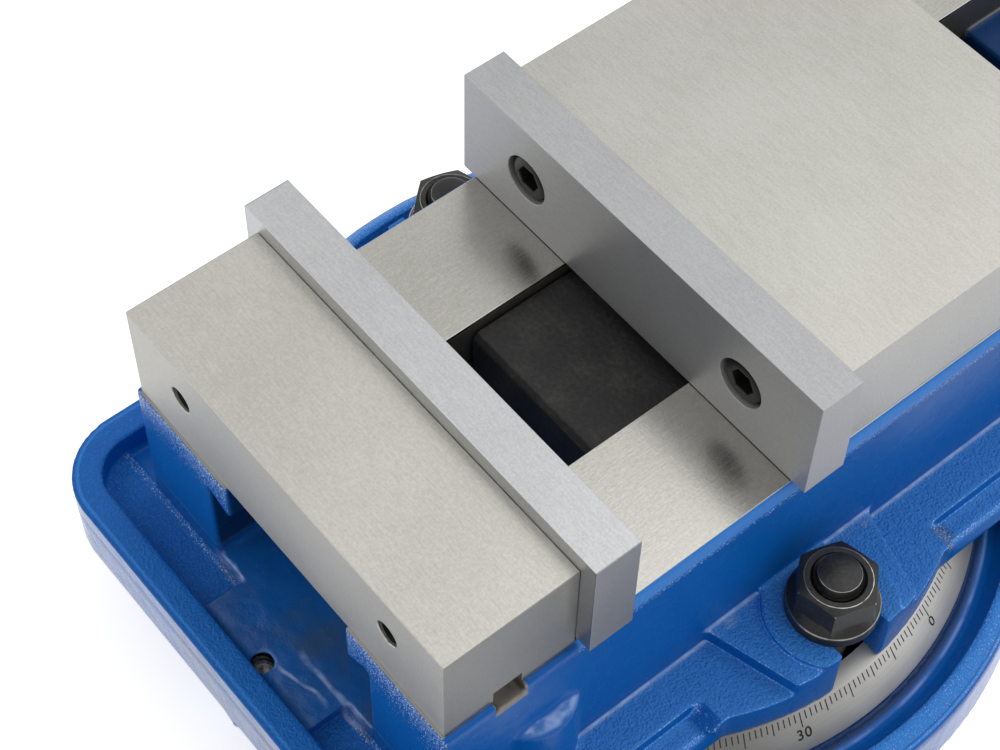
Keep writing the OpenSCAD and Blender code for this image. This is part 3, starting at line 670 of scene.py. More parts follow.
@dataclass
class Places:
    """Where a casting is grainy, lighter or darker by painted light and shade, dotted with painted glints,
    lit by painted highlights, grimy and partly in painted shade, painted near black as shade, glossy or
    bare.

    Each is a mask, or the plain number 0 where the casting has none of it.
    """

    grain: Value | float = 0.0
    # Mixes the enamel towards its lit copy as painted light, and below 0 darkens it as painted shade
    tone: Value | float = 0.0
    # Painted glints: light dots on lit grain and edges
    frost: Value | float = 0.0
    # Painted highlights and streaks of light
    pale: Value | float = 0.0
    # Grime, and painted shade, in the darker dull blue
    film: Value | float = 0.0
    # Painted shade, near black, in holes and recesses
    dark: Value | float = 0.0
    gloss: Value | float = 0.0
    bare: Value | float = 0.0

    def __or__(self, other: "Places") -> "Places":
        """Both together: tones are added, and of the other masks the greater counts.

        Args:
            other: the other places.

        Returns:
            The places of both.
        """
        both = {}
        for part in fields(self):
            mine = getattr(self, part.name)
            theirs = getattr(other, part.name)
            masks = isinstance(mine, Value) and isinstance(theirs, Value)
            if masks and part.name != "tone":
                both[part.name] = mine.graph.math("MAXIMUM", mine, theirs)
            else:
                both[part.name] = mine + theirs
        return Places(**both)


@dataclass
class Spot:
    """A place on a surface in millimetres, and the shader that reads it."""

    made: Shader
    x: Value
    y: Value
    z: Value
    side: Value = field(init=False)

    def __post_init__(self) -> None:
        """Works out the distance from the middle plane."""
        self.side = self.made.math("ABSOLUTE", self.x)


@dataclass(frozen=True)
class BlueEnamel:
    """Blue enamel on a casting. Each casting says where it is grainy, glossy or bare, and where light and
    shade are painted on it.
    """

    name: str
    # deep is the enamel's own blue; light is a lit copy of it, mixed in as painted light
    deep: Colour = (0.0020, 0.106, 0.425, 1.0)
    light: Colour = (0.040, 0.245, 0.730, 1.0)
    # Colour of painted glints and painted highlights
    dusted: Colour = (0.360, 0.500, 0.810, 1.0)
    iron: Colour = (0.200, 0.190, 0.168, 1.0)
    # Colour of grime and of painted shade
    dull: Colour = (0.045, 0.100, 0.225, 1.0)
    # Near black, painted as shade in holes and recesses
    hole: Colour = (0.003, 0.003, 0.004, 1.0)
    grain: float = 1150.0
    dots: float = 1900.0
    wave: float = 85.0
    depth: float = 0.0021

    def places(self, made: Shader) -> Places:
        """Says where the enamel differs, from the object coordinates."""
        raise NotImplementedError

    def material(self) -> Material:
        """Builds the material, a flat and a glossy enamel mixed.

        Returns:
            The material.
        """
        made = Shader(self.name)
        at = self.places(made)
        fine = made.noise(self.grain, 3.0)
        dots = made.noise(self.dots, 1.0)
        broad = made.noise(self.wave, 2.0)
        # Grain peaks are painted lighter, as painted glints
        peaks = made.ramp(fine, 0.50, 0.70)
        # Painted light and shade: the share moves the colour from the deep blue towards its lit copy
        share = at.tone + at.grain * (0.65 * peaks - 0.06) + 0.14 * (broad - 0.5)
        paint = made.mix(made.ramp(share, 0.0, 1.0), self.deep, self.light)
        # Grime, and painted shade, mixed in
        paint = made.mix(at.film, paint, self.dull)
        # Painted glint dots and painted highlights, then near black painted shade
        dust = made.most(made.ramp(dots + 0.34 * at.frost, 0.76, 0.86), at.pale)
        paint = made.mix(at.dark, made.mix(dust, paint, self.dusted), self.hole)
        relief = fine * (0.05 + 0.95 * at.grain) + broad * (0.15 + 0.5 * at.gloss)
        shared = {
            "Base Color": made.mix(at.bare, paint, self.iron),
            "Metallic": at.bare,
            "Roughness": 0.24 + 0.20 * at.grain + 0.22 * at.bare + 0.06 * broad,
            "Normal": made.bump(relief, self.depth),
        }
        flat = made.value("ShaderNodeBsdfPrincipled", inputs=shared | {"Specular IOR Level": 0.15})
        glossy = made.value("ShaderNodeBsdfPrincipled", inputs=shared | {
            "Specular IOR Level": 0.5, "Coat Weight": 0.4, "Coat Roughness": 0.08})
        mixed = made.value("ShaderNodeMixShader", inputs={0: at.gloss, 1: flat, 2: glossy})
        made.node("ShaderNodeOutputMaterial", inputs={0: mixed})
        return made.material


@dataclass(frozen=True)
class BedEnamel(BlueEnamel):
    """Enamel of the bed and its chip tray."""

    name: str = "bed_enamel"
    to_tray: Pair = (-102.0, -104.0)
    past_tray: Pair = (-104.0, -102.0)
    past_block: Pair = (-90.5, -89.0)
    in_tray: Pair = (-136.2, -137.4)
    corner: Pair = (77.0, -138.0)
    corner_r: float = 25.0
    drain_y: float = -149.5
    drain_r: float = 3.5
    # Line and slope of a painted streak of light on the tray floor
    streak_y: float = -148.5
    streak_slope: float = 0.232
    # Centre of the column whose top gets a painted highlight
    column: Pair = (65.0, -100.0)

    def places(self, made: Shader) -> Places:
        """Says where the bed is rough, glossy, grimy or ground bare, and where light and shade are painted
        on it.

        Args:
            made: the material's shader.

        Returns:
            The places.
        """
        at = Spot(made, *made.millimetres())
        streaks = made.ramp(made.noise(420.0, 2.0, (0.4, 0.4, 1.0)), 0.40, 0.62)
        return self.tray(at, streaks) | self.foot(at, streaks) | self.walls(at, streaks) | self.inside(at)

    def tray(self, at: Spot, streaks: Value) -> Places:
        """The chip tray: pillars, rim, floor, outer wall and drain, with a lit rim and floor, glints, a
        highlight and a shade line on the rim's edge, painted streaks of light by the drain and the drain
        painted near black as shade.

        Args:
            at: where the surface is.
            streaks: a mask of fine streaks.

        Returns:
            The places.
        """
        made, x, y, z = at.made, at.x, at.y, at.z
        ramp, band, most = made.ramp, made.band, made.most
        ahead = ramp(y, *self.in_tray)
        beside = ramp(y, *self.to_tray)
        # Painted glints, towards the pillar tops and along the floor's back edge
        pillar = ahead * ramp(z, 78.0, 105.0)
        corner_x = made.math("MAXIMUM", at.side - self.corner[0], 0.0)
        corner_y = made.math("MAXIMUM", self.corner[1] - y, 0.0)
        edge = made.far(corner_x, corner_y) - self.corner_r
        rim = ramp(z, 56.4, 57.4) * beside * ramp(z, 60.0, 59.0)
        # Painted highlight and painted shade across the rim's rounded outer edge
        rim_highlight = rim * band(edge, -2.4, -1.5, 0.4)
        rim_edge_shade = rim * band(edge, -0.9, -0.3, 0.3)
        floor = ahead * ramp(z, 50.5, 49.0) * ramp(z, 46.0, 47.0)
        floor_edge = floor * ramp(y, -141.0, -138.5)
        outer = ramp(edge, -0.9, -0.3) * ramp(z, 57.6, 57.0) * beside
        drain = made.far(x, y - self.drain_y)
        # The drain's bore painted near black as shade
        bore = ramp(drain, self.drain_r + 0.25, self.drain_r + 0.05) * ramp(z, 54.2, 53.8)
        # Painted streaks of light on the floor and along the lip
        wave = 14.0 * (made.noise(70.0, 1.0) - 0.5)
        across = y + wave - self.streak_y - self.streak_slope * x
        first = band(across, -0.7, 0.9, 0.6) * band(x, 5.0, 23.0, 3.0)
        lip = band(y + 0.5 * wave, -138.4, -136.6, 0.7)
        second = lip * most(band(x, 6.0, 34.0, 4.0), band(x, -41.0, -27.0, 2.0))
        shine = most(first, second) * ramp(z, 57.0, 55.0)
        return Places(
            grain=most(0.5 * floor, 0.25 * rim),
            # Rim and floor painted lighter as lit
            tone=0.28 * rim + 0.40 * floor + 0.45 * rim_highlight - 0.25 * rim_edge_shade,
            frost=most(0.76 * pillar, 0.62 * floor_edge),
            pale=shine * (0.25 + 0.55 * streaks),
            dark=bore,
            gloss=outer,
        )

    def foot(self, at: Spot, streaks: Value) -> Places:
        """The foot and its lugs, where they join the wall, and the lower strips outside, with lit tops,
        highlight lines and glints painted on, and painted shade on the strips' ends.

        Args:
            at: where the surface is.
            streaks: a mask of fine streaks.

        Returns:
            The places.
        """
        made, y, z, side = at.made, at.y, at.z, at.side
        ramp, band, most = made.ramp, made.band, made.most
        up = made.upward()
        behind = ramp(y, *self.past_tray)
        beside = ramp(side, 76.2, 77.0) * behind * band(z, 36.0, 62.0, 1.5)
        # Up-facing tops painted lighter as lit, and painted highlight lines where the surface turns
        top = beside * ramp(up, 0.70, 0.92)
        edge_highlight = beside * band(up, 0.32, 0.72, 0.14)
        on_foot = band(z, 44.2, 46.4, 0.4)
        on_lug = band(z, 51.2, 53.4, 0.4) * band(y, -37.0, 37.0, 1.0)
        # Painted highlight lines where the foot and the lugs meet the wall, and on the lug ends
        joint_highlight = band(side, 76.2, 77.2, 0.3) * behind * most(on_foot, on_lug)
        lug_end_highlight = on_lug * band(side, 76.6, 80.5, 0.9) * ramp(made.math("ABSOLUTE", y), 16.0, 34.0)
        strip = ramp(side, 90.9, 91.6) * band(z, 38.6, 45.2, 0.6)
        # The strips' back ends in painted shade with glints, their front ends darker
        strip_end_shade = strip * band(y, 49.0, 57.0, 1.5)
        strip_front = strip * band(y, -56.0, -49.5, 0.8)
        return Places(
            grain=top,
            tone=0.75 * edge_highlight + 1.15 * top - 0.5 * strip_front,
            frost=most(0.60 * edge_highlight, 0.64 * strip_end_shade),
            pale=most(joint_highlight * (0.5 + 0.3 * streaks), lug_end_highlight * (0.05 + 0.45 * streaks)),
            film=0.75 * strip_end_shade,
            gloss=0.22 * top,
        )

    def walls(self, at: Spot, streaks: Value) -> Places:
        """The bevels along the ways, painted lighter with glints, and a painted shine on the columns over
        the jaw bolts.

        Args:
            at: where the surface is.
            streaks: a mask of fine streaks.

        Returns:
            The places.
        """
        made, y, z, side = at.made, at.y, at.z, at.side
        ramp, band = made.ramp, made.band
        behind = ramp(y, *self.past_block)
        # Bevels painted lighter as lit, with painted glints at their foot
        bevel = ramp(side, 73.2, 74.4) * ramp(z, 102.6, 103.4) * behind
        bevel_foot = ramp(side, 75.0, 75.6) * band(z, 101.0, 103.4, 0.8) * behind
        # A painted highlight in a crescent on each column
        column = made.far(side - self.column[0], y - self.column[1])
        shine = band(column, 12.6, 16.0, 0.8) * band(z, 74.0, 80.0, 0.6)
        crescent = shine * ramp(side, 76.6, 77.4)
        return Places(
            tone=0.62 * bevel,
            frost=0.58 * bevel_foot,
            pale=crescent * (0.15 + 0.55 * streaks),
        )

    def inside(self, at: Spot) -> Places:
        """The channel and its saddle, the slot between the ways, the rear wall and the fixed jaw's seat,
        with grime that is partly painted shade, a painted highlight on the rear wall's edge and painted
        shade on the wall under the fixed jaw.

        Args:
            at: where the surface is.

        Returns:
            The places.
        """
        made, y, z, side = at.made, at.y, at.z, at.side
        ramp, band, most = made.ramp, made.band, made.most
        behind = ramp(y, *self.past_block)
        saddle = ramp(side, 27.8, 26.8) * ramp(y, -133.0, -135.0) * ramp(z, 57.0, 55.0)
        channel = ramp(side, 40.5, 39.5) * ramp(z, 66.0, 60.0) * ramp(y, -139.6, -138.0)
        wet = most(saddle, channel * ramp(y, -80.0, -100.0))
        # Painted shade, near black, on the wall under the fixed jaw
        wall = ramp(side, 41.2, 40.4) * ramp(y, -137.6, -135.8) * band(z, 58.0, 104.0, 2.0)
        # Stains of grime, partly standing in for shade
        stains = ramp(made.noise(45.0, 2.0), 0.35, 0.65)
        rear_wall = ramp(y, 175.5, 177.0) * ramp(z, 94.0, 93.2) * ramp(side, 28.6, 28.0)
        # Painted highlight along the rear wall's top edge
        rear_edge_highlight = rear_wall * band(y, 177.4, 179.2, 0.5) * ramp(z, 89.0, 90.5)
        slot = ramp(side, 31.0, 30.0) * ramp(z, 86.8, 87.6) * behind * (1.0 - rear_wall)
        shelf = ramp(z, 104.2, 104.6) * ramp(y, -88.0, -89.0) * ramp(side, 74.2, 73.8)
        key = band(y, -119.8, -108.2, 0.3) * ramp(z, 99.0, 99.6) * ramp(side, 60.0, 62.0)
        return Places(
            tone=0.9 * rear_edge_highlight,
            film=most(saddle * (0.05 + 0.55 * stains), channel * (0.10 + 0.80 * stains)),
            dark=0.72 * wall,
            gloss=0.8 * wet,
            bare=most(slot, shelf, key),
        )


@dataclass(frozen=True)
class BaseEnamel(BlueEnamel):
    """Enamel of the swivel base."""

    name: str = "base_enamel"
    # A darker dull blue, for the painted shade in the trough
    dull: Colour = (0.012, 0.040, 0.125, 1.0)

    def places(self, made: Shader) -> Places:
        """Says where the base is rough or glossy, and where light and shade are painted on it.

        Args:
            made: the material's shader.

        Returns:
            The places.
        """
        x, y, z = made.millimetres()
        ramp, band, most = made.ramp, made.band, made.most
        radius = made.far(x, y)
        # Rim and ears painted lighter as lit, with glints, and a painted highlight on the rim's edge
        rim = band(radius, 130.6, 136.6, 0.4) * ramp(z, 21.5, 23.0)
        rim_edge_highlight = band(radius, 136.9, 137.7, 0.25) * ramp(z, 18.0, 20.0)
        # The trough painted darker as shade, darkest by the dial
        low = ramp(z, 20.0, 18.6) * ramp(radius, 129.0, 128.0)
        trough_shade = band(radius, 119.0, 122.6, 0.4) * low
        streaks = ramp(made.noise(60.0, 3.0), 0.38, 0.62)
        # Painted highlight line along the trough
        trough_highlight = band(radius, 123.4, 124.4, 0.5) * low
        ear = ramp(radius, 140.0, 141.0) * ramp(z, 18.6, 19.6)
        outer = ramp(radius, 137.8, 138.4) * ramp(z, 23.0, 21.0)
        return Places(
            grain=most(0.5 * rim, 0.7 * ear),
            tone=0.85 * rim + 0.50 * trough_highlight + 0.95 * rim_edge_highlight + 0.20 * ear - 0.35 * low,
            frost=most(0.40 * rim, 0.50 * rim_edge_highlight),
            pale=trough_highlight * (0.10 + 0.40 * streaks),
            film=trough_shade,
            gloss=outer,
        )


@dataclass(frozen=True)
class GroundMetal:
    """Metal with fine grinding marks along one axis."""

    name: str
    colour: Colour = (0.500, 0.492, 0.455, 1.0)
    dark: Colour = (0.400, 0.392, 0.357, 1.0)
    stretch: Point = (0.12, 1.0, 1.0)
    scale: float = 1500.0
    rough: float = 0.40
    depth: float = 0.00004
    end_x: float = 1000.0
    # Share of the colour kept on the ends, as painted shade
    milled: float = 0.5
    front_y: float = -1000.0
    # Share of the colour kept on the front, as painted shade
    front: float = 0.85
    metallic: float = 1.0

    def material(self) -> Material:
        """Builds the material, darker as painted shade on the ends beyond end_x and on the front at front_y.

        Returns:
            The material.
        """
        made = Shader(self.name)
        x, y, _ = made.millimetres()
        # Painted shade: darker on the ends beyond end_x and on the front at front_y
        end = made.ramp(made.math("ABSOLUTE", x), self.end_x - 0.5, self.end_x - 0.2)
        ahead = made.ramp(y, self.front_y + 0.5, self.front_y + 0.2)
        lines = made.noise(self.scale, 3.0, self.stretch)
        specks = made.noise(1200.0, 2.0)
        broad = made.noise(22.0, 2.0)
        share = 0.50 * lines + 0.60 * specks + 0.4 * broad - 0.25
        tone = made.ramp(share, 0.2, 0.8)
        ground = made.mix(tone, self.dark, self.colour)
        plain = made.mix(tone, self.tint(self.dark, self.front), self.tint(self.colour, self.front))
        dull = made.mix(tone, self.tint(self.dark, self.milled), self.tint(self.colour, self.milled))
        return made.close({
            "Base Color": made.mix(end, made.mix(ahead, ground, plain), dull),
            "Metallic": self.metallic,
            "Roughness": self.rough + 0.10 * (lines - 0.5) + 0.10 * (broad - 0.5),
            "Normal": made.bump(lines + 0.8 * specks, self.depth),
        })

    @staticmethod
    def tint(colour: Colour, share: float) -> Colour:
        """A darker colour."""
        return (colour[0] * share, colour[1] * share, colour[2] * share, 1.0)


@dataclass(frozen=True)
class WornEdge:
    """Broken edge of a piece, bright where it is rubbed."""

    name: str
    bright: Colour = (0.70, 0.69, 0.66, 1.0)
    body: Colour = (0.36, 0.355, 0.33, 1.0)
    scale: float = 260.0
    share: float = 0.5
    metallic: float = 1.0

    def material(self) -> Material:
        """Builds the material.

        Returns:
            The material.
        """
        made = Shader(self.name)
        patches = made.noise(self.scale, 4.0)
        fine = made.noise(1400.0, 2.0)
        rubbed = made.ramp(patches + 0.25 * (fine - 0.5), 0.62 - 0.3 * self.share, 0.78 - 0.3 * self.share)
        return made.close({
            "Base Color": made.mix(rubbed, self.body, self.bright),
            "Metallic": self.metallic + (1.0 - self.metallic) * rubbed,
            "Roughness": 0.38 - 0.14 * rubbed + 0.10 * (fine - 0.5),
            "Normal": made.bump(patches, 0.0002),
        })


@dataclass(frozen=True)
class TurnedMetal:
    """Metal with turning marks round an axis."""

    name: str
    axis: str = "Y"
    centre: Pair = (0.0, 0.0)
    colour: Colour = (0.50, 0.50, 0.495, 1.0)
    dark: Colour = (0.40, 0.40, 0.40, 1.0)
    rough: float = 0.26
    scale: float = 2200.0
    metallic: float = 1.0
    # Share of painted shade in a fan pattern round the axis
    fans: float = 0.0
    fan_turn: float = 13.0
    fan_count: float = 4.0

    def material(self) -> Material:
        """Builds the material, with painted shade in a fan pattern round the axis, standing in for the
        reflections that turned faces show.

        Returns:
            The material.
        """
        made = Shader(self.name)
        x, y, z = made.axes()
        along = z if self.axis == "Z" else y
        a = x - self.centre[0] * MM
        b = (y if self.axis == "Z" else z) - self.centre[1] * MM
        lines = made.noise(self.scale, 2.0, place=made.vector(made.far(a, b), along, 0.0))
        stain = made.noise(60.0, 3.0)
        colour = made.mix(made.ramp(0.5 * lines + 0.5 * stain, 0.3, 0.7), self.dark, self.colour)
        # Painted shade in a fan pattern round the axis
        turn = made.math("ARCTAN2", b, a) - math.radians(self.fan_turn)
        fan = made.math("COSINE", self.fan_count * turn)
        return made.close({
            "Base Color": made.mix(self.fans * (1.0 - fan), colour, BLACK),
            "Metallic": self.metallic,
            "Roughness": self.rough + 0.12 * (lines - 0.5) + 0.12 * (stain - 0.5),
            "Normal": made.bump(lines, 0.00002),
        })


@dataclass(frozen=True)
class BlackOxide:
    """Blackened steel or iron, slightly grainy."""

    name: str
    colour: Colour = (0.008, 0.008, 0.008, 1.0)
    dust: Colour = (0.030, 0.029, 0.028, 1.0)
    rough: float = 0.40
    grain: float = 900.0
    depth: float = 0.00006
    bright: Colour = (0.30, 0.30, 0.29, 1.0)

    def material(self) -> Material:
        """Builds the material, bright where the mesh says that it is rubbed.

        Returns:
            The material.
        """
        made = Shader(self.name)
        fine = made.noise(self.grain, 3.0)
        broad = made.noise(70.0, 3.0)
        patches = made.noise(420.0, 3.0)
        rubbed = made.ramp(made.attribute("rub") * (0.45 + 1.1 * patches), 0.45, 0.85)
        colour = made.mix(made.ramp(0.6 * broad + 0.4 * fine, 0.42, 0.75), self.colour, self.dust)
        return made.close({
            "Base Color": made.mix(rubbed, colour, self.bright),
            "Metallic": 0.25 + 0.75 * rubbed,
            "Specular IOR Level": 0.3,
            "Roughness": self.rough - 0.10 * rubbed + 0.16 * (broad - 0.5) + 0.10 * (fine - 0.5),
            "Normal": made.bump(fine, self.depth),
        })


@dataclass(frozen=True)
class MouldedPlastic:
    """Black moulded plastic with a fine texture."""

    name: str = "black_plastic"
    colour: Colour = (0.014, 0.014, 0.015, 1.0)
    worn: Colour = (0.035, 0.035, 0.036, 1.0)

    def material(self) -> Material:
        """Builds the material.

        Returns:
            The material.
        """
        made = Shader(self.name)
        fine = made.noise(1800.0, 2.0)
        broad = made.noise(45.0, 3.0)
        return made.close({
            "Base Color": made.mix(made.ramp(broad, 0.4, 0.75), self.colour, self.worn),
            "Roughness": 0.34 + 0.14 * (broad - 0.5),
            "Normal": made.bump(fine, 0.00004),
        })


@dataclass(frozen=True)
class PaleFloor:
    """White floor that the camera sees as white outside the shadow."""

    name: str = "pale_floor"
    colour: Colour = (0.86, 0.86, 0.86, 1.0)
    pale: Colour = (0.88, 0.88, 0.88, 1.0)
    glow: float = 0.56

    def material(self) -> Material:
        """Builds the material.

        Returns:
            The material.
        """
        made = Shader(self.name)
        faint = made.noise(3.0, 2.0)
        matt = made.value("ShaderNodeBsdfDiffuse", inputs={"Color": made.mix(faint, self.colour, self.pale)})
        seen = made.value("ShaderNodeEmission", inputs={"Color": WHITE, "Strength": self.glow})
        both = made.value("ShaderNodeAddShader", inputs={0: matt, 1: seen})
        mixed = made.value("ShaderNodeMixShader", inputs={0: made.seen(), 1: matt, 2: both})
        made.node("ShaderNodeOutputMaterial", inputs={0: mixed})
        return made.material


@dataclass
class Finishes:
    """Every finish of the vise."""

    made: dict[str, Material] = field(default_factory=dict)

    def build(self) -> None:
        """Builds the materials."""
        plate = (0.490, 0.492, 0.498, 1.0)
        plate_dark = (0.390, 0.392, 0.398, 1.0)
        bronze = (0.46, 0.27, 0.10, 1.0)
        bronze_dark = (0.36, 0.20, 0.07, 1.0)
        black_edge = (0.02, 0.02, 0.021, 1.0)
        soot = (0.020, 0.020, 0.020, 1.0)
        dial = (0.590, 0.580, 0.553, 1.0)
        dial_dark = (0.480, 0.472, 0.450, 1.0)
        moving = (0.420, 0.422, 0.428, 1.0)
        moving_dark = (0.336, 0.338, 0.343, 1.0)
        jaw = (0.460, 0.453, 0.424, 1.0)
        jaw_dark = (0.370, 0.363, 0.335, 1.0)
        way = (0.436, 0.428, 0.396, 1.0)
        way_dark = (0.352, 0.344, 0.314, 1.0)
        for finish in (
            BedEnamel(),
            BaseEnamel(),
            # ground_iron and plate_steel are darker on their ends, and ground_iron on its front, as painted
            # shade
            GroundMetal("ground_iron", end_x=74.0, milled=0.5, front_y=-136.5),
            GroundMetal("jaw_iron", jaw, jaw_dark),
            GroundMetal("ground_way", way, way_dark, (1.0, 0.10, 1.0), rough=0.25, depth=0.00002),
            GroundMetal("plate_steel", plate, plate_dark, rough=0.38, end_x=80.0, milled=0.55),
            GroundMetal("moving_plate", moving, moving_dark, rough=0.46, metallic=0.6),
            WornEdge("iron_edge", (0.86, 0.85, 0.82, 1.0), (0.42, 0.41, 0.38, 1.0), share=0.7),
            WornEdge("dull_edge", (0.40, 0.39, 0.36, 1.0), (0.25, 0.245, 0.225, 1.0), scale=500.0),
            WornEdge("plate_edge", (0.62, 0.62, 0.63, 1.0), (0.36, 0.36, 0.37, 1.0)),
            WornEdge("black_edge", (0.40, 0.40, 0.39, 1.0), black_edge, share=0.75, metallic=0.35),
            TurnedMetal("bright_steel", centre=(0.0, 72.5)),
            TurnedMetal("dial_steel", "Z", (0.0, 0.0), dial, dial_dark, 0.50, metallic=0.5, fans=0.35),
            TurnedMetal("bronze", centre=(0.0, 72.5), colour=bronze, dark=bronze_dark),
            BlackOxide("black_oxide"),
            BlackOxide("rubbed_black", soot, (0.050, 0.048, 0.045, 1.0), 0.34),
            BlackOxide("black_iron", soot, (0.050, 0.049, 0.046, 1.0), 0.46, 600.0, 0.0002),
            BlackOxide("mark_fill", (0.024, 0.022, 0.020, 1.0), (0.048, 0.044, 0.040, 1.0), 0.55, 1500.0),
            MouldedPlastic(),
        ):
            self.made[finish.name] = finish.material()

    def get(self, *names: str) -> list[Material]:
        """Materials by name."""
        return [self.made[name] for name in names]


class Repeats:
    """Geometry Nodes trees for what repeats or follows a path."""

    def on_points(self, points: Sequence[Point], item: Mesh, turn: Point,
                  material: Material) -> Mesh:
        """Copies of one mesh on points.

        Args:
            points: the places in millimetres.
            item: the mesh to copy, round its own origin.
            turn: turn of each copy about X, Y and Z in radians.
            material: its material.

        Returns:
            The copies as one mesh.
        """
        recipe = Recipe("copies")
        thing = recipe.given("Item", "NodeSocketObject")
        angle = recipe.given("Turn", "NodeSocketVector")
        dots = recipe.value("GeometryNodeMeshToPoints", inputs={0: recipe.host()})
        shape = recipe.value("GeometryNodeObjectInfo", {"transform_space": "ORIGINAL"}, {"Object": thing},
                             output="Geometry")
        turned = recipe.value("FunctionNodeEulerToRotation", inputs={0: angle})
        copies = recipe.value("GeometryNodeInstanceOnPoints",
                              inputs={"Points": dots, "Instance": shape, "Rotation": turned})
        recipe.close(copies, material)
        model = placed("helper", item)
        made = recipe.mesh(points, {"Item": model, "Turn": turn})
        drop(model)
        return made

    def dial(self, count: int, start: float, top: Pair, lengths: tuple[float, float, float], width: float,
             tilt: float, material: Material) -> Mesh:
        """Marks round a sloping dial.

        Args:
            count: number of marks.
            start: angle of the first one in degrees.
            top: radius and height where they start, in millimetres.
            lengths: lengths of the short, middle and long marks in millimetres.
            width: width of a mark in millimetres.
            tilt: slope of the dial in radians.
            material: their material.

        Returns:
            The marks as one mesh.
        """
        recipe = Recipe("dial_marks")
        number = recipe.given("Count", "NodeSocketInt")
        names = ("Start", "Inner", "Short", "Middle", "Long", "Width", "Level", "Slope")
        first, inside, short, middle, long, wide, high, slope = (recipe.given(name) for name in names)
        index = recipe.value("GeometryNodeInputIndex")
        angle = first + index * (2 * math.pi) / number
        fifth, tenth = (recipe.math("COMPARE", recipe.math("MODULO", index, step), 0.0, 0.1)
                        for step in (5.0, 10.0))
        length = short + fifth * (middle - short) + tenth * (long - middle)
        radius = inside + 0.5 * length * recipe.math("COSINE", slope)
        height = high - 0.5 * length * recipe.math("SINE", slope)
        place = recipe.value("ShaderNodeCombineXYZ", inputs={
            0: radius * recipe.math("COSINE", angle), 1: radius * recipe.math("SINE", angle), 2: height})
        dots = recipe.value("GeometryNodePoints", inputs={"Count": number, "Position": place})
        bar = recipe.value("GeometryNodeMeshCube", inputs={"Size": (1.0, 1.0, MARK_H * MM)})
        turned = recipe.value("FunctionNodeEulerToRotation", inputs={
            0: recipe.value("ShaderNodeCombineXYZ", inputs={0: 0.0, 1: slope, 2: angle})})
        size = recipe.value("ShaderNodeCombineXYZ", inputs={0: length, 1: wide, 2: 1.0})
        marks = recipe.value("GeometryNodeInstanceOnPoints",
                             inputs={"Points": dots, "Instance": bar, "Rotation": turned, "Scale": size})
        recipe.close(marks, material)
        sizes = (top[0], *lengths, width, top[1])
        given = {name: size * MM for name, size in zip(names[1:-1], sizes)}
        return recipe.mesh([ORIGIN], given | {"Count": count, "Start": math.radians(start), "Slope": tilt})

    def helix(self, radius: float, depth: float, pitch: float, length: float,
              material: Material, left: bool = False, inside: bool = False) -> Mesh:
        """A thread ridge along +Z from the origin.

        Args:
            radius: outer radius in millimetres.
            depth: depth of the thread in millimetres.
            pitch: pitch in millimetres.
            length: length in millimetres.
            material: its material.
            left: whether it is left-handed.
            inside: whether the crest faces the axis, as in a tapped hole.

        Returns:
            The ridge as a mesh.
        """
        recipe = Recipe("thread")
        facing = -math.pi / 2 if inside else math.pi / 2
        names = ("Turns", "Root", "Length", "Depth", "Foot", "Crest")
        turns, root, high, deep, foot, crest = (recipe.given(name) for name in names)
        path = recipe.value("GeometryNodeCurveSpiral", inputs={
            "Resolution": THREAD_STEPS, "Rotations": turns, "Start Radius": root, "End Radius": root,
            "Height": high, "Reverse": not left})
        upright = recipe.value("GeometryNodeSetCurveNormal", {"mode": "Z_UP"}, {0: path})
        section = recipe.value("GeometryNodeCurvePrimitiveQuadrilateral", {"mode": "TRAPEZOID"}, {
            "Height": deep, "Bottom Width": foot, "Top Width": crest, "Offset": 0.0})
        turned = recipe.value("GeometryNodeTransform", inputs={0: section, "Rotation": (0.0, 0.0, facing)})
        ridge = recipe.value("GeometryNodeCurveToMesh", inputs={0: upright, 1: turned, "Fill Caps": True})
        recipe.close(ridge, material)
        sizes = (radius - depth / 2, length, depth, THREAD_FOOT * pitch, THREAD_CREST * pitch)
        given = {name: size * MM for name, size in zip(names[1:], sizes)}
        made = recipe.mesh([ORIGIN], given | {"Turns": length / pitch})
        shade(made, SHARP)
        return made


@dataclass
class FlangeNut:
    """Hexagon nut with a flange, its foot at the origin and its axis along +Z."""

    across: float = 24.0
    turn: float = 12.0
    height: float = 17.0
    bore_r: float = 8.2
    flange_r: float = 15.1
    rim_z: float = 4.2
    wall_z: float = 7.0
    face_r: float = 10.7
    slope: float = 0.35
    steps: int = 180

    def outline(self, angle: float) -> list[Point]:
        """Radius, height and rub of each corner, from the foot of the bore round to its mouth.

        The small offsets round the edges.

        Args:
            angle: the angle in degrees.

        Returns:
            The corners.
        """
        from_flat = (angle - self.turn) % 60 - 30
        side = self.across / 2 / math.cos(math.radians(from_flat))
        rub = 0.7 if abs(from_flat) > 29 else 0.0
        lip = self.height - self.slope * (side - self.face_r)
        return [
            (self.bore_r, 0.0, 0.0), (self.flange_r - 0.3, 0.0, 0.0), (self.flange_r, 0.3, 0.0),
            (self.flange_r, self.rim_z - 0.5, 0.1), (self.flange_r - 0.3, self.rim_z, 1.0),
            (self.flange_r - 0.65, self.rim_z + 0.3, 0.0), (side + 0.2, self.wall_z - 0.2, 0.0),
            (side, self.wall_z + 0.5, 0.0), (side, lip - 0.4, 0.2 * rub), (side - 0.1, lip, 0.35 + rub),
            (side - 0.5, lip + 0.18, 0.0), (self.face_r + 0.3, self.height - 0.1, 0.0),
            (self.face_r, self.height, 1.0), (self.face_r - 0.4, self.height, 0.0),
            (self.bore_r + 1.0, self.height, 0.0), (self.bore_r + 0.7, self.height, 0.5),
            (self.bore_r + 0.4, self.height - 0.3, 0.0), (self.bore_r, self.height - 1.0, 0.0),
        ]

    def build(self) -> Mesh:
        """Builds the nut's mesh."""
        return turned_mesh(self.outline, self.steps, SHARP_RUBBED)


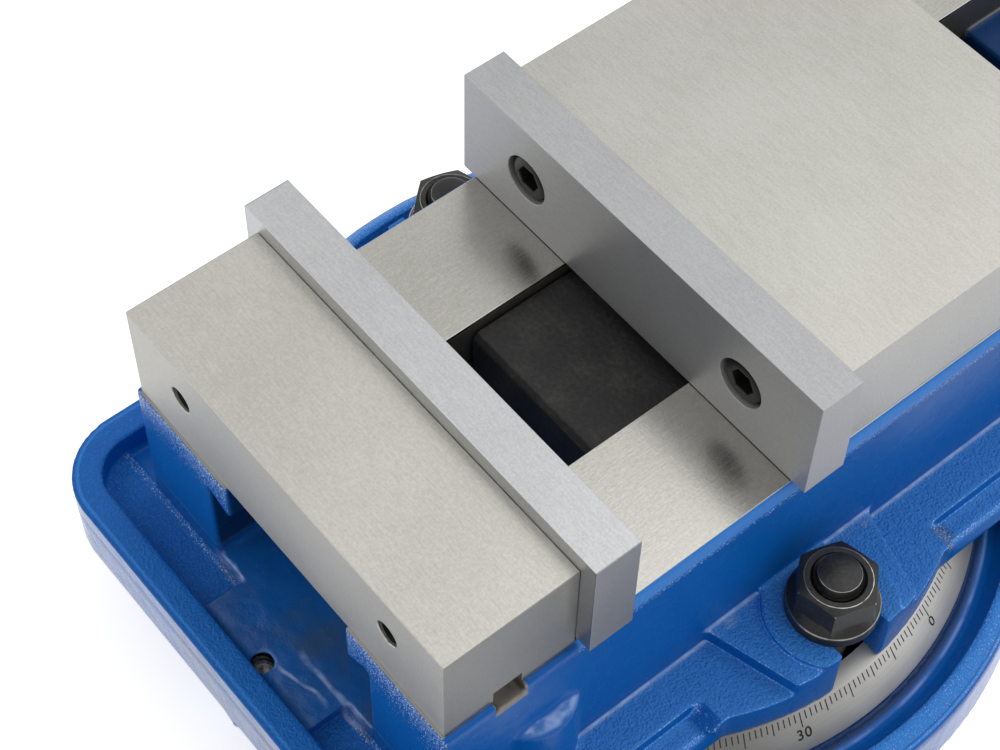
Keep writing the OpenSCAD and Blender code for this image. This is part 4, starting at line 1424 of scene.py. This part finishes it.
@dataclass
class StudEnd:
    """Threaded end of a clamping bolt with a domed top, its foot at the origin and its axis along +Z."""

    root_r: float = 7.0
    outer_r: float = 8.0
    pitch: float = 2.0
    edge_z: float = 14.0
    dome: float = 1.0
    rings: int = 6
    steps: int = 96

    def outline(self, angle: float) -> list[Point]:
        """Radius, height and rub of each corner, the same at every angle.

        Args:
            angle: the angle, which isn't used.

        Returns:
            The corners.
        """
        edge = self.root_r - 0.1
        domed = []
        for k in range(1, self.rings + 1):
            share = 1 - k / self.rings
            domed.append((edge * share, self.edge_z + self.dome * (1 - share ** 2), 0.0))
        return [
            (0.0, 0.0, 0.0), (self.root_r, 0.0, 0.0), (self.root_r, self.edge_z - 0.4, 0.0),
            (edge, self.edge_z - 0.1, 1.0), (edge - 0.3, self.edge_z + 0.05, 0.1), *domed,
        ]

    def build(self, repeats: Repeats, material: Material) -> Mesh:
        """Builds the end's mesh, the core and its thread.

        Args:
            repeats: the repeating shapes.
            material: material of the thread.

        Returns:
            The mesh.
        """
        depth = self.outer_r - self.root_r + 0.1
        length = self.edge_z - 1.5 - 0.5 * self.pitch
        ridge = repeats.helix(self.outer_r, depth, self.pitch, length, material)
        return joined([turned_mesh(self.outline, self.steps, SHARP_RUBBED), ridge])


@dataclass
class SocketScrew:
    """Socket head cap screw with a knurled head, head up along +Z and its top at the origin."""

    head_d: float = 16.0
    head_h: float = 10.0
    socket_af: float = 8.0
    socket_h: float = 5.0
    shank_d: float = 10.0
    shank_l: float = 12.0
    knurls: int = 40
    knurl: float = 0.22

    def rows(self) -> list[Point]:
        """Height, radius and depth of the knurls of each row of corners, from the top down.

        Returns:
            The rows.
        """
        top = self.head_d / 2
        shank = self.shank_d / 2
        foot = self.head_h + self.shank_l
        chamfer = 0.09 * self.head_d
        return [
            (0.0, top - chamfer, 0.0), (-0.35 * chamfer, top - 0.3 * chamfer, 0.0), (-chamfer, top, 0.0),
            (-1.25 * chamfer, top, self.knurl), (-self.head_h + 0.6, top, self.knurl),
            (-self.head_h + 0.2, top - 0.3, 0.0), (-self.head_h, top - 0.7, 0.0), (-self.head_h, shank, 0.0),
            (-foot + 0.8, shank, 0.0), (-foot, shank - 0.8, 0.0),
        ]

    @staticmethod
    def loop(work: BMesh, radii: Sequence[float], height: float) -> list[BMVert]:
        """Adds corners at even angles, each at its own radius, all at one height in millimetres.

        Args:
            work: the mesh under construction.
            radii: a radius for each corner.
            height: their height.

        Returns:
            The corners.
        """
        made = []
        for k, radius in enumerate(radii):
            turn = 2 * math.pi * k / len(radii)
            made.append(work.verts.new(polar(radius, turn, height)))
        return made

    @staticmethod
    def skin(work: BMesh, loops: Sequence[list[BMVert]], inward: bool) -> None:
        """Adds faces between each loop and the next, and a face that closes the last.

        Args:
            work: the mesh under construction.
            loops: loops of corners, the open end first.
            inward: whether the faces look at the axis.
        """
        for upper, lower in zip(loops, loops[1:]):
            for k in range(len(upper)):
                after = (k + 1) % len(upper)
                corners = (upper[k], lower[k], lower[after], upper[after])
                work.faces.new(corners[::-1] if inward else corners)
        work.faces.new(loops[-1] if inward else loops[-1][::-1])

    def build(self) -> Mesh:
        """Builds the screw's mesh, the outside first, then the socket and the top between them.

        Returns:
            The mesh.
        """
        work = bmesh.new()
        steps = 2 * self.knurls
        outside = []
        for height, radius, cut in self.rows():
            outside.append(self.loop(work, [radius - cut * (k % 2) for k in range(steps)], height))
        self.skin(work, outside, False)
        corner = self.socket_af / math.sqrt(3)
        socket = []
        for height, grow in ((0.0, 1.06), (-0.35, 1.0), (-self.socket_h, 1.0)):
            socket.append(self.loop(work, [grow * corner] * 6, height))
        self.skin(work, socket, True)
        bmesh.ops.bridge_loops(work, edges=[e for e in work.edges if e.is_boundary])
        bmesh.ops.recalc_face_normals(work, faces=work.faces)
        mesh = mesh_of(work, "screw")
        shade(mesh, SHARP_SCREW)
        return mesh


@dataclass
class Assembly:
    """Pieces that are built together, with the finishes and the repeating shapes that they draw on."""

    finishes: Finishes
    repeats: Repeats

    def dress(self, rows: Iterable[tuple[str, Body, Slot, str, str, float]], segments: int = 2) -> None:
        """Replaces CAD nodes by copies with broken edges.

        Args:
            rows: node, body, slot, finish of the faces, finish of the edges and width of the broken edges.
            segments: faces across a broken edge.
        """
        for node, body, slot, face, edge, width in rows:
            mesh = bevelled(cad_mesh(node), width, segments)
            add_piece(node + "_dressed", mesh, body, slot, self.finishes.get(face, edge), [node])


@dataclass
class SwivelBase(Assembly):
    """Round base: casting, machined dial ring with its marks and numbers, and the centring plug."""

    ring_in: float = 104.3
    dial_in: float = 111.1
    dial_out: float = 119.7
    dial_top: float = 31.46
    dial_foot: float = 20.0
    skin: float = 1.1
    mark_count: int = 360
    mark_start: float = 0.5
    mark_lengths: tuple[float, float, float] = (3.0, 4.3, 5.4)
    mark_width: float = 0.40
    zero_angle: float = 18.0
    label_start: float = 8.4
    label_h: float = 5.2
    label_bold: float = 0.07
    label_space: float = 1.12
    label_step: int = 30
    ink: float = 0.02
    ink_h: float = 0.012
    plug_edge: float = 0.6
    steps: int = 240

    @property
    def tilt(self) -> float:
        """Slope of the dial in radians."""
        return math.atan2(self.dial_top - self.dial_foot, self.dial_out - self.dial_in)

    def on_dial(self, down: float) -> Pair:
        """Radius and height of the dial's face at a distance down its slope, ink on top."""
        radius = self.dial_in + down * math.cos(self.tilt) + self.ink * math.sin(self.tilt)
        return radius, self.dial_top - down * math.sin(self.tilt) + self.ink * math.cos(self.tilt)

    def build(self) -> None:
        """Makes the pieces."""
        enamel = self.finishes.get("base_enamel")
        add_piece("base_casting", self.casting(), Body.BASE, Slot.ENAMEL, enamel, ["swivel_base"])
        dial = self.finishes.get("dial_steel", "iron_edge")
        add_piece("dial_ring", self.ring(), Body.BASE, Slot.STEEL, dial)
        ink = self.finishes.get("mark_fill")
        marks = self.repeats.dial(self.mark_count, self.zero_angle, self.on_dial(self.mark_start),
                                  self.mark_lengths, self.mark_width, self.tilt, ink[0])
        add_piece("dial_marks", marks, Body.BASE, Slot.BLACK, ink)
        add_piece("dial_numbers", self.numbers(), Body.BASE, Slot.BLACK, ink)
        plug = bevelled(cad_mesh("pivot_plug"), self.plug_edge)
        steel = self.finishes.get("bright_steel", "iron_edge")
        add_piece("centring_plug", plug, Body.BASE, Slot.STEEL, steel, ["pivot_plug"])

    def ring(self) -> Mesh:
        """The machined dial, a flat lip with a broken edge and a cone, as a skin on the casting.

        Returns:
            The mesh.
        """
        lip = 0.3
        low = self.dial_top - 0.8
        profile = (
            (self.ring_in, low), (self.dial_in - 0.5, low), (self.dial_out - 0.6, self.dial_foot - 0.4),
            (self.dial_out, self.dial_foot), (self.dial_in + 0.6 * lip, self.dial_top - 0.8 * lip),
            (self.dial_in - lip, self.dial_top), (self.ring_in, self.dial_top),
        )
        mesh = ring_mesh(profile, self.steps)
        for face in mesh.polygons:
            radius = math.hypot(face.center.x, face.center.y) / MM
            on_lip = self.dial_in - lip < radius < self.dial_in + lip
            face.material_index = int(on_lip and face.normal.z > 0.1)
        return mesh

    def casting(self) -> Mesh:
        """The base casting, a little lower than the dial that lies on it.

        Returns:
            The mesh.
        """
        mesh = cast_skin(["swivel_base"], voxel=1.0, rounds=4, limit=150000)
        places = corners_of(mesh)
        x, y, z = places.T
        radius = np.hypot(x, y)
        under = self.dial_top - self.skin - np.maximum(radius - self.dial_in, 0.0) * math.tan(self.tilt)
        lower = (radius < self.dial_out + 0.5) & (z > self.dial_foot - 1.5)
        z[lower] = np.minimum(z[lower], under[lower])
        put_corners(mesh, places)
        return mesh

    def numbers(self) -> Mesh:
        """The numbers of the dial, read from outside, with a number at every label step.

        Returns:
            The mesh.
        """
        made = []
        for number in range(0, 360, self.label_step):
            curve = bpy.data.curves.new("number", "FONT")
            settle(curve, body=str(min(number, 360 - number)), size=self.label_h * MM, align_x="CENTER",
                   align_y="CENTER", extrude=self.ink_h * MM, offset=self.label_bold * MM,
                   space_character=self.label_space, fill_mode="BOTH")
            thing = placed("number", curve)
            mesh = evaluated(thing)
            drop(thing)
            turn = math.radians(self.zero_angle - number)
            radius, height = self.on_dial(self.label_start)
            place = polar(radius, turn, height)
            facing = Matrix.Rotation(turn + math.pi / 2, 4, "Z") @ Matrix.Rotation(self.tilt, 4, "X")
            mesh.transform(Matrix.Translation(place) @ facing)
            made.append(mesh)
        return joined(made)


@dataclass
class Bed(Assembly):
    """Bed casting and its two ground ways."""

    nodes: tuple[str, ...] = ("bed", "chip_tray")
    way_in: float = 29.1
    way_out: float = 74.25
    way_z: float = 108.0
    way_h: float = 3.0
    way_front: float = -89.3
    way_rear: float = 226.4
    way_edge: float = 0.25
    lowered: float = 0.35
    strip_x: float = 93.0
    strip_w: float = 7.5
    strip_y: float = 49.0
    strip_z: float = 39.0
    foot_z: float = 31.5
    foot_front: float = -103.0
    draft: float = 3.4

    def build(self) -> None:
        """Makes the pieces."""
        enamel = self.finishes.get("bed_enamel")
        add_piece("bed_casting", self.casting(), Body.BED, Slot.ENAMEL, enamel, self.nodes)
        strips = []
        for side in SIDES:
            ends = sorted((side * self.way_in, side * self.way_out))
            low = (ends[0], self.way_front, self.way_z - self.way_h)
            strips.append(box_mesh(low, (ends[1], self.way_rear, self.way_z)))
        ways = bevelled(joined(strips), self.way_edge)
        add_piece("bed_ways", ways, Body.BED, Slot.IRON, self.finishes.get("ground_way", "dull_edge"))

    def casting(self) -> Mesh:
        """The bed casting, a little lower than the ways on it, with a draft on the foot's outer strips.

        Returns:
            The mesh.
        """
        mesh = cast_skin(self.nodes, voxel=0.9, rounds=4, limit=190000)
        places = corners_of(mesh)
        x, y, z = places.T
        under_way = (z > self.way_z - self.lowered) & (np.abs(x) < self.way_out - 0.2)
        z[under_way] = self.way_z - self.lowered
        strip = (z < self.strip_z + 1.0) & (y > self.foot_front)
        rise = np.clip((z - self.foot_z) / (self.strip_z - self.foot_z), 0.0, 1.0)
        out = np.clip((np.abs(x) - self.strip_x) / self.strip_w, 0.0, 1.0)
        away = np.clip((np.abs(y) - self.strip_y) / self.strip_w, 0.0, 1.0)
        x -= np.where(strip, np.sign(x) * self.draft * rise * out * away, 0.0)
        put_corners(mesh, places)
        return mesh


@dataclass
class Clamps(Assembly):
    """T-bolts and flange nuts that clamp the bed on its base."""

    clamp_r: float = 95.0
    pad_z: float = 55.0
    stud_z: float = 61.0
    bolt_edge: float = 0.3
    bolt_angle: float = 25.0
    nut: FlangeNut = field(default_factory=FlangeNut)
    stud: StudEnd = field(default_factory=StudEnd)

    def build(self) -> None:
        """Makes the pieces."""
        rubbed = self.finishes.get("rubbed_black")
        for name, mesh, z, nodes in (
            ("clamp_nuts", self.nut.build(), self.pad_z, ["flange_nuts"]),
            ("clamp_stud_ends", self.stud.build(self.repeats, rubbed[0]), self.stud_z, []),
        ):
            feet = [(side * self.clamp_r, 0.0, z) for side in SIDES]
            pair = self.repeats.on_points(feet, mesh, ORIGIN, rubbed[0])
            shade(pair, SHARP_RUBBED)
            add_piece(name, pair, Body.BED, Slot.BLACK, rubbed, nodes)
        bolts = cad_mesh("t_bolts")
        places = corners_of(bolts)
        places[:, 2] = np.minimum(places[:, 2], self.stud_z + 1.0)
        put_corners(bolts, places)
        black = self.finishes.get("black_oxide", "black_edge")
        bolts = bevelled(bolts, self.bolt_edge, angle=self.bolt_angle)
        add_piece("clamp_bolts", bolts, Body.BED, Slot.BLACK, black, ["t_bolts"])


@dataclass
class Jaws(Assembly):
    """Jaw blocks, plates, keys and the plate screws."""

    screw_x: float = 49.0
    screw_z: float = 130.0
    fixed_y: float = -73.5
    move_y: float = -6.5
    sunk: float = 0.8
    stop_y: float = -135.4
    stop_z: float = 128.5
    stop_d: float = 8.5
    stop_pitch: float = 1.5
    stop_depth: float = 0.8
    stop_l: float = 15.0
    screw: SocketScrew = field(default_factory=SocketScrew)

    def build(self) -> None:
        """Makes the pieces."""
        self.dress((
            ("fixed_jaw", Body.BED, Slot.IRON, "ground_iron", "iron_edge", 0.45),
            ("movable_jaw", Body.CARRIAGE, Slot.IRON, "jaw_iron", "dull_edge", 0.6),
            ("fixed_jaw_plate", Body.BED, Slot.PLATE, "plate_steel", "plate_edge", 0.3),
            ("movable_jaw_plate", Body.CARRIAGE, Slot.PLATE, "moving_plate", "plate_edge", 0.3),
            ("fixed_jaw_keys", Body.BED, Slot.STEEL, "bright_steel", "iron_edge", 0.3),
            ("fixed_jaw_bolts", Body.BED, Slot.BLACK, "black_oxide", "black_edge", 0.3),
        ))
        self.plate_screws()
        self.stop_threads()

    def stop_threads(self) -> None:
        """Threads in the two work stop holes of the fixed jaw."""
        dark = self.finishes.get("black_iron")
        outer_r = self.stop_d / 2 + 0.1
        ridge = self.repeats.helix(outer_r, self.stop_depth, self.stop_pitch, self.stop_l, dark[0],
                                   inside=True)
        points = [(side * self.screw_x, self.stop_y, self.stop_z) for side in SIDES]
        threads = self.repeats.on_points(points, ridge, (-math.pi / 2, 0.0, 0.0), dark[0])
        add_piece("work_stop_threads", threads, Body.BED, Slot.IRON, dark)

    def plate_screws(self) -> None:
        """Screws in the counterbores of the two plates."""
        black = self.finishes.get("black_oxide")
        for node, body, y, facing in (
            ("fixed_plate_screws", Body.BED, self.fixed_y - self.sunk, -1),
            ("movable_plate_screws", Body.CARRIAGE, self.move_y + self.sunk, 1),
        ):
            points = [(side * self.screw_x, y, self.screw_z) for side in SIDES]
            turn = (facing * math.pi / 2, 0.0, 0.0)
            mesh = self.repeats.on_points(points, self.screw.build(), turn, black[0])
            shade(mesh, SHARP_SCREW)
            add_piece(node + "_dressed", mesh, body, Slot.BLACK, black, [node])


@dataclass
class Drive(Assembly):
    """Drive nut, lead screw with its thread, thrust bearing and cap."""

    screw_z: float = 72.5
    thread_y: Pair = (-39.5, 160.5)
    thread_d: float = 26.0
    pitch: float = 5.0
    depth: float = 2.75
    chamfer: float = 1.5
    shank_edge: float = 0.5
    steps: int = 72

    def build(self) -> None:
        """Makes the pieces."""
        self.dress((
            ("drive_nut", Body.CARRIAGE, Slot.BLACK, "black_iron", "black_iron", 0.8),
            ("nut_set_screw", Body.CARRIAGE, Slot.BLACK, "black_oxide", "black_edge", 0.3),
            ("thrust_race_turning", Body.SCREW, Slot.STEEL, "bright_steel", "iron_edge", 0.3),
            ("thrust_race_fixed", Body.BED, Slot.STEEL, "bright_steel", "iron_edge", 0.3),
            ("thrust_cage", Body.CAGE, Slot.BRONZE, "bronze", "bronze", 0.15),
            ("screw_bush", Body.BED, Slot.BRONZE, "bronze", "bronze", 0.3),
            ("screw_collar", Body.SCREW, Slot.STEEL, "bright_steel", "iron_edge", 0.5),
            ("collar_set_screw", Body.SCREW, Slot.BLACK, "black_oxide", "black_edge", 0.2),
            ("bearing_cap", Body.BED, Slot.IRON, "ground_iron", "iron_edge", 0.6),
            ("bearing_cap_screws", Body.BED, Slot.BLACK, "black_oxide", "black_edge", 0.25),
        ))
        for node in ("half_ball", "thrust_balls"):
            self.wear(node, self.finishes.get("bright_steel")[0])
        self.lead_screw()

    def wear(self, node: str, material: Material) -> None:
        """Gives a CAD node that stays a finish.

        Args:
            node: the node's name.
            material: the finish.
        """
        mesh = frame["nodes"][node].data
        mesh.materials.clear()
        mesh.materials.append(material)

    def lead_screw(self) -> None:
        """The lead screw with a core and a left-handed ridge in place of the CAD rings."""
        steel = self.finishes.get("bright_steel", "iron_edge")
        front, rear = self.thread_y
        core_r = self.thread_d / 2 - self.depth
        profile = (
            (0.0, front), (core_r - self.chamfer, front), (core_r, front + self.chamfer),
            (core_r, rear + 0.3), (0.0, rear + 0.3),
        )
        core = ring_mesh(profile, self.steps)
        length = rear - front - self.pitch
        ridge = self.repeats.helix(self.thread_d / 2, self.depth, self.pitch, length, steel[0], left=True)
        ridge.transform(Matrix.Translation((0.0, 0.0, (front + 0.5 * self.pitch) * MM)))
        along = Matrix.Translation((0.0, 0.0, self.screw_z * MM)) @ Matrix.Rotation(-math.pi / 2, 4, "X")
        for mesh in (core, ridge):
            mesh.transform(along)
        shank = bevelled(cut_ahead(cad_mesh("lead_screw"), rear + 0.1), self.shank_edge)
        whole = joined([shank, core, ridge])
        add_piece("lead_screw_dressed", whole, Body.SCREW, Slot.STEEL, steel, ["lead_screw"])


@dataclass
class Crank(Assembly):
    """Crank arm, spindle and grip."""

    def build(self) -> None:
        """Makes the pieces."""
        self.dress((
            ("crank_arm", Body.SCREW, Slot.BLACK, "black_oxide", "black_edge", 1.0),
            ("crank_spindle", Body.SCREW, Slot.STEEL, "bright_steel", "iron_edge", 0.6),
            ("crank_grip", Body.GRIP, Slot.PLASTIC, "black_plastic", "black_plastic", 1.2),
        ), segments=3)


@dataclass
class Studio:
    """Floor, light, surroundings and camera, in metres apart from the lens and its sensor."""

    eye: Point = (0.2885, -0.3009, 0.67185)
    azimuth: float = 49.77
    elevation: float = 55.37
    roll: float = 1.267
    lens: float = 81.2
    sensor: float = 36.0
    around: float = 0.62
    soft_place: Point = (0.35, 0.95, 1.55)
    soft_size: float = 1.9
    soft_radiance: float = 1.20
    fill_place: Point = (-1.05, -1.15, 1.25)
    fill_size: float = 1.5
    fill_radiance: float = 0.75
    floor_half: float = 6.0
    floor_z: float = -0.0001

    def build(self) -> None:
        """Makes the studio."""
        self.floor()
        self.surroundings()
        self.light("soft_light", self.soft_place, self.soft_size, self.soft_radiance)
        self.light("fill_light", self.fill_place, self.fill_size, self.fill_radiance)
        self.camera()
        bpy.context.scene.view_settings.view_transform = "Standard"

    def floor(self) -> None:
        """A wide pale floor under the vise."""
        mesh = bpy.data.meshes.new("floor")
        half = self.floor_half
        low = self.floor_z
        corners = [(-half, -half, low), (half, -half, low), (half, half, low), (-half, half, low)]
        mesh.from_pydata(corners, [], [(0, 1, 2, 3)])
        mesh.materials.append(PaleFloor().material())
        thing = placed("floor", mesh)
        thing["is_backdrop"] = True

    def surroundings(self) -> None:
        """White to the camera and in reflections, softer as light."""
        world = bpy.data.worlds.new("surroundings")
        bpy.context.scene.world = world
        world.use_nodes = True
        graph = Graph(world.node_tree)
        world.node_tree.nodes.clear()
        strength = self.around + graph.seen() * (1.0 - self.around)
        light = graph.value("ShaderNodeBackground", inputs={"Color": WHITE, "Strength": strength})
        graph.node("ShaderNodeOutputWorld", inputs={0: light})

    def light(self, name: str, place: Point, size: float, radiance: float) -> None:
        """A large soft light that faces the vise.

        Args:
            name: the light's name.
            place: its place in metres.
            size: length of its sides in metres.
            radiance: its brightness.
        """
        lamp = bpy.data.lights.new(name, "AREA")
        settle(lamp, shape="SQUARE", size=size, energy=radiance * math.pi * size ** 2)
        settle(placed(name, lamp), location=place, rotation_mode="QUATERNION",
               rotation_quaternion=(-Vector(place)).to_track_quat("-Z", "Y"))

    def camera(self) -> None:
        """The camera at the photograph's place."""
        angles = (self.azimuth, self.elevation, self.roll)
        azimuth, elevation, roll = (math.radians(angle) for angle in angles)
        level = math.cos(elevation)
        ahead = Vector((-math.sin(azimuth) * level, math.cos(azimuth) * level, -math.sin(elevation)))
        right = Vector((math.cos(azimuth), math.sin(azimuth), 0.0))
        up = right.cross(ahead)
        side = right * math.cos(roll) + up * math.sin(roll)
        top = up * math.cos(roll) - right * math.sin(roll)
        data = bpy.data.cameras.new("camera")
        settle(data, sensor_fit="HORIZONTAL", sensor_width=self.sensor, lens=self.lens, clip_start=0.01)
        thing = placed("camera", data)
        turn = Matrix((side, top, -ahead)).transposed().to_4x4()
        thing.matrix_world = Matrix.Translation(Vector(self.eye)) @ turn
        bpy.context.scene.camera = thing


def clear_start() -> None:
    """Removes what Blender's start file brings."""
    kept = set(frame["nodes"].values()) | set(frame["bodies"].values())
    for thing in list(bpy.data.objects):
        if thing not in kept:
            bpy.data.objects.remove(thing)


def main() -> None:
    """Builds the dressed vise and its studio."""
    logging.basicConfig(level=logging.INFO, format="%(message)s")
    clear_start()
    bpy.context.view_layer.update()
    finishes = Finishes()
    finishes.build()
    repeats = Repeats()
    for kind in (SwivelBase, Bed, Clamps, Jaws, Drive, Crank):
        kind(finishes, repeats).build()
    Studio().build()
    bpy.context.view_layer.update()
    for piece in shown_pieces():
        log.info("%s: %d faces", piece.name, len(piece.data.polygons))


if __name__ == "__main__":
    main()
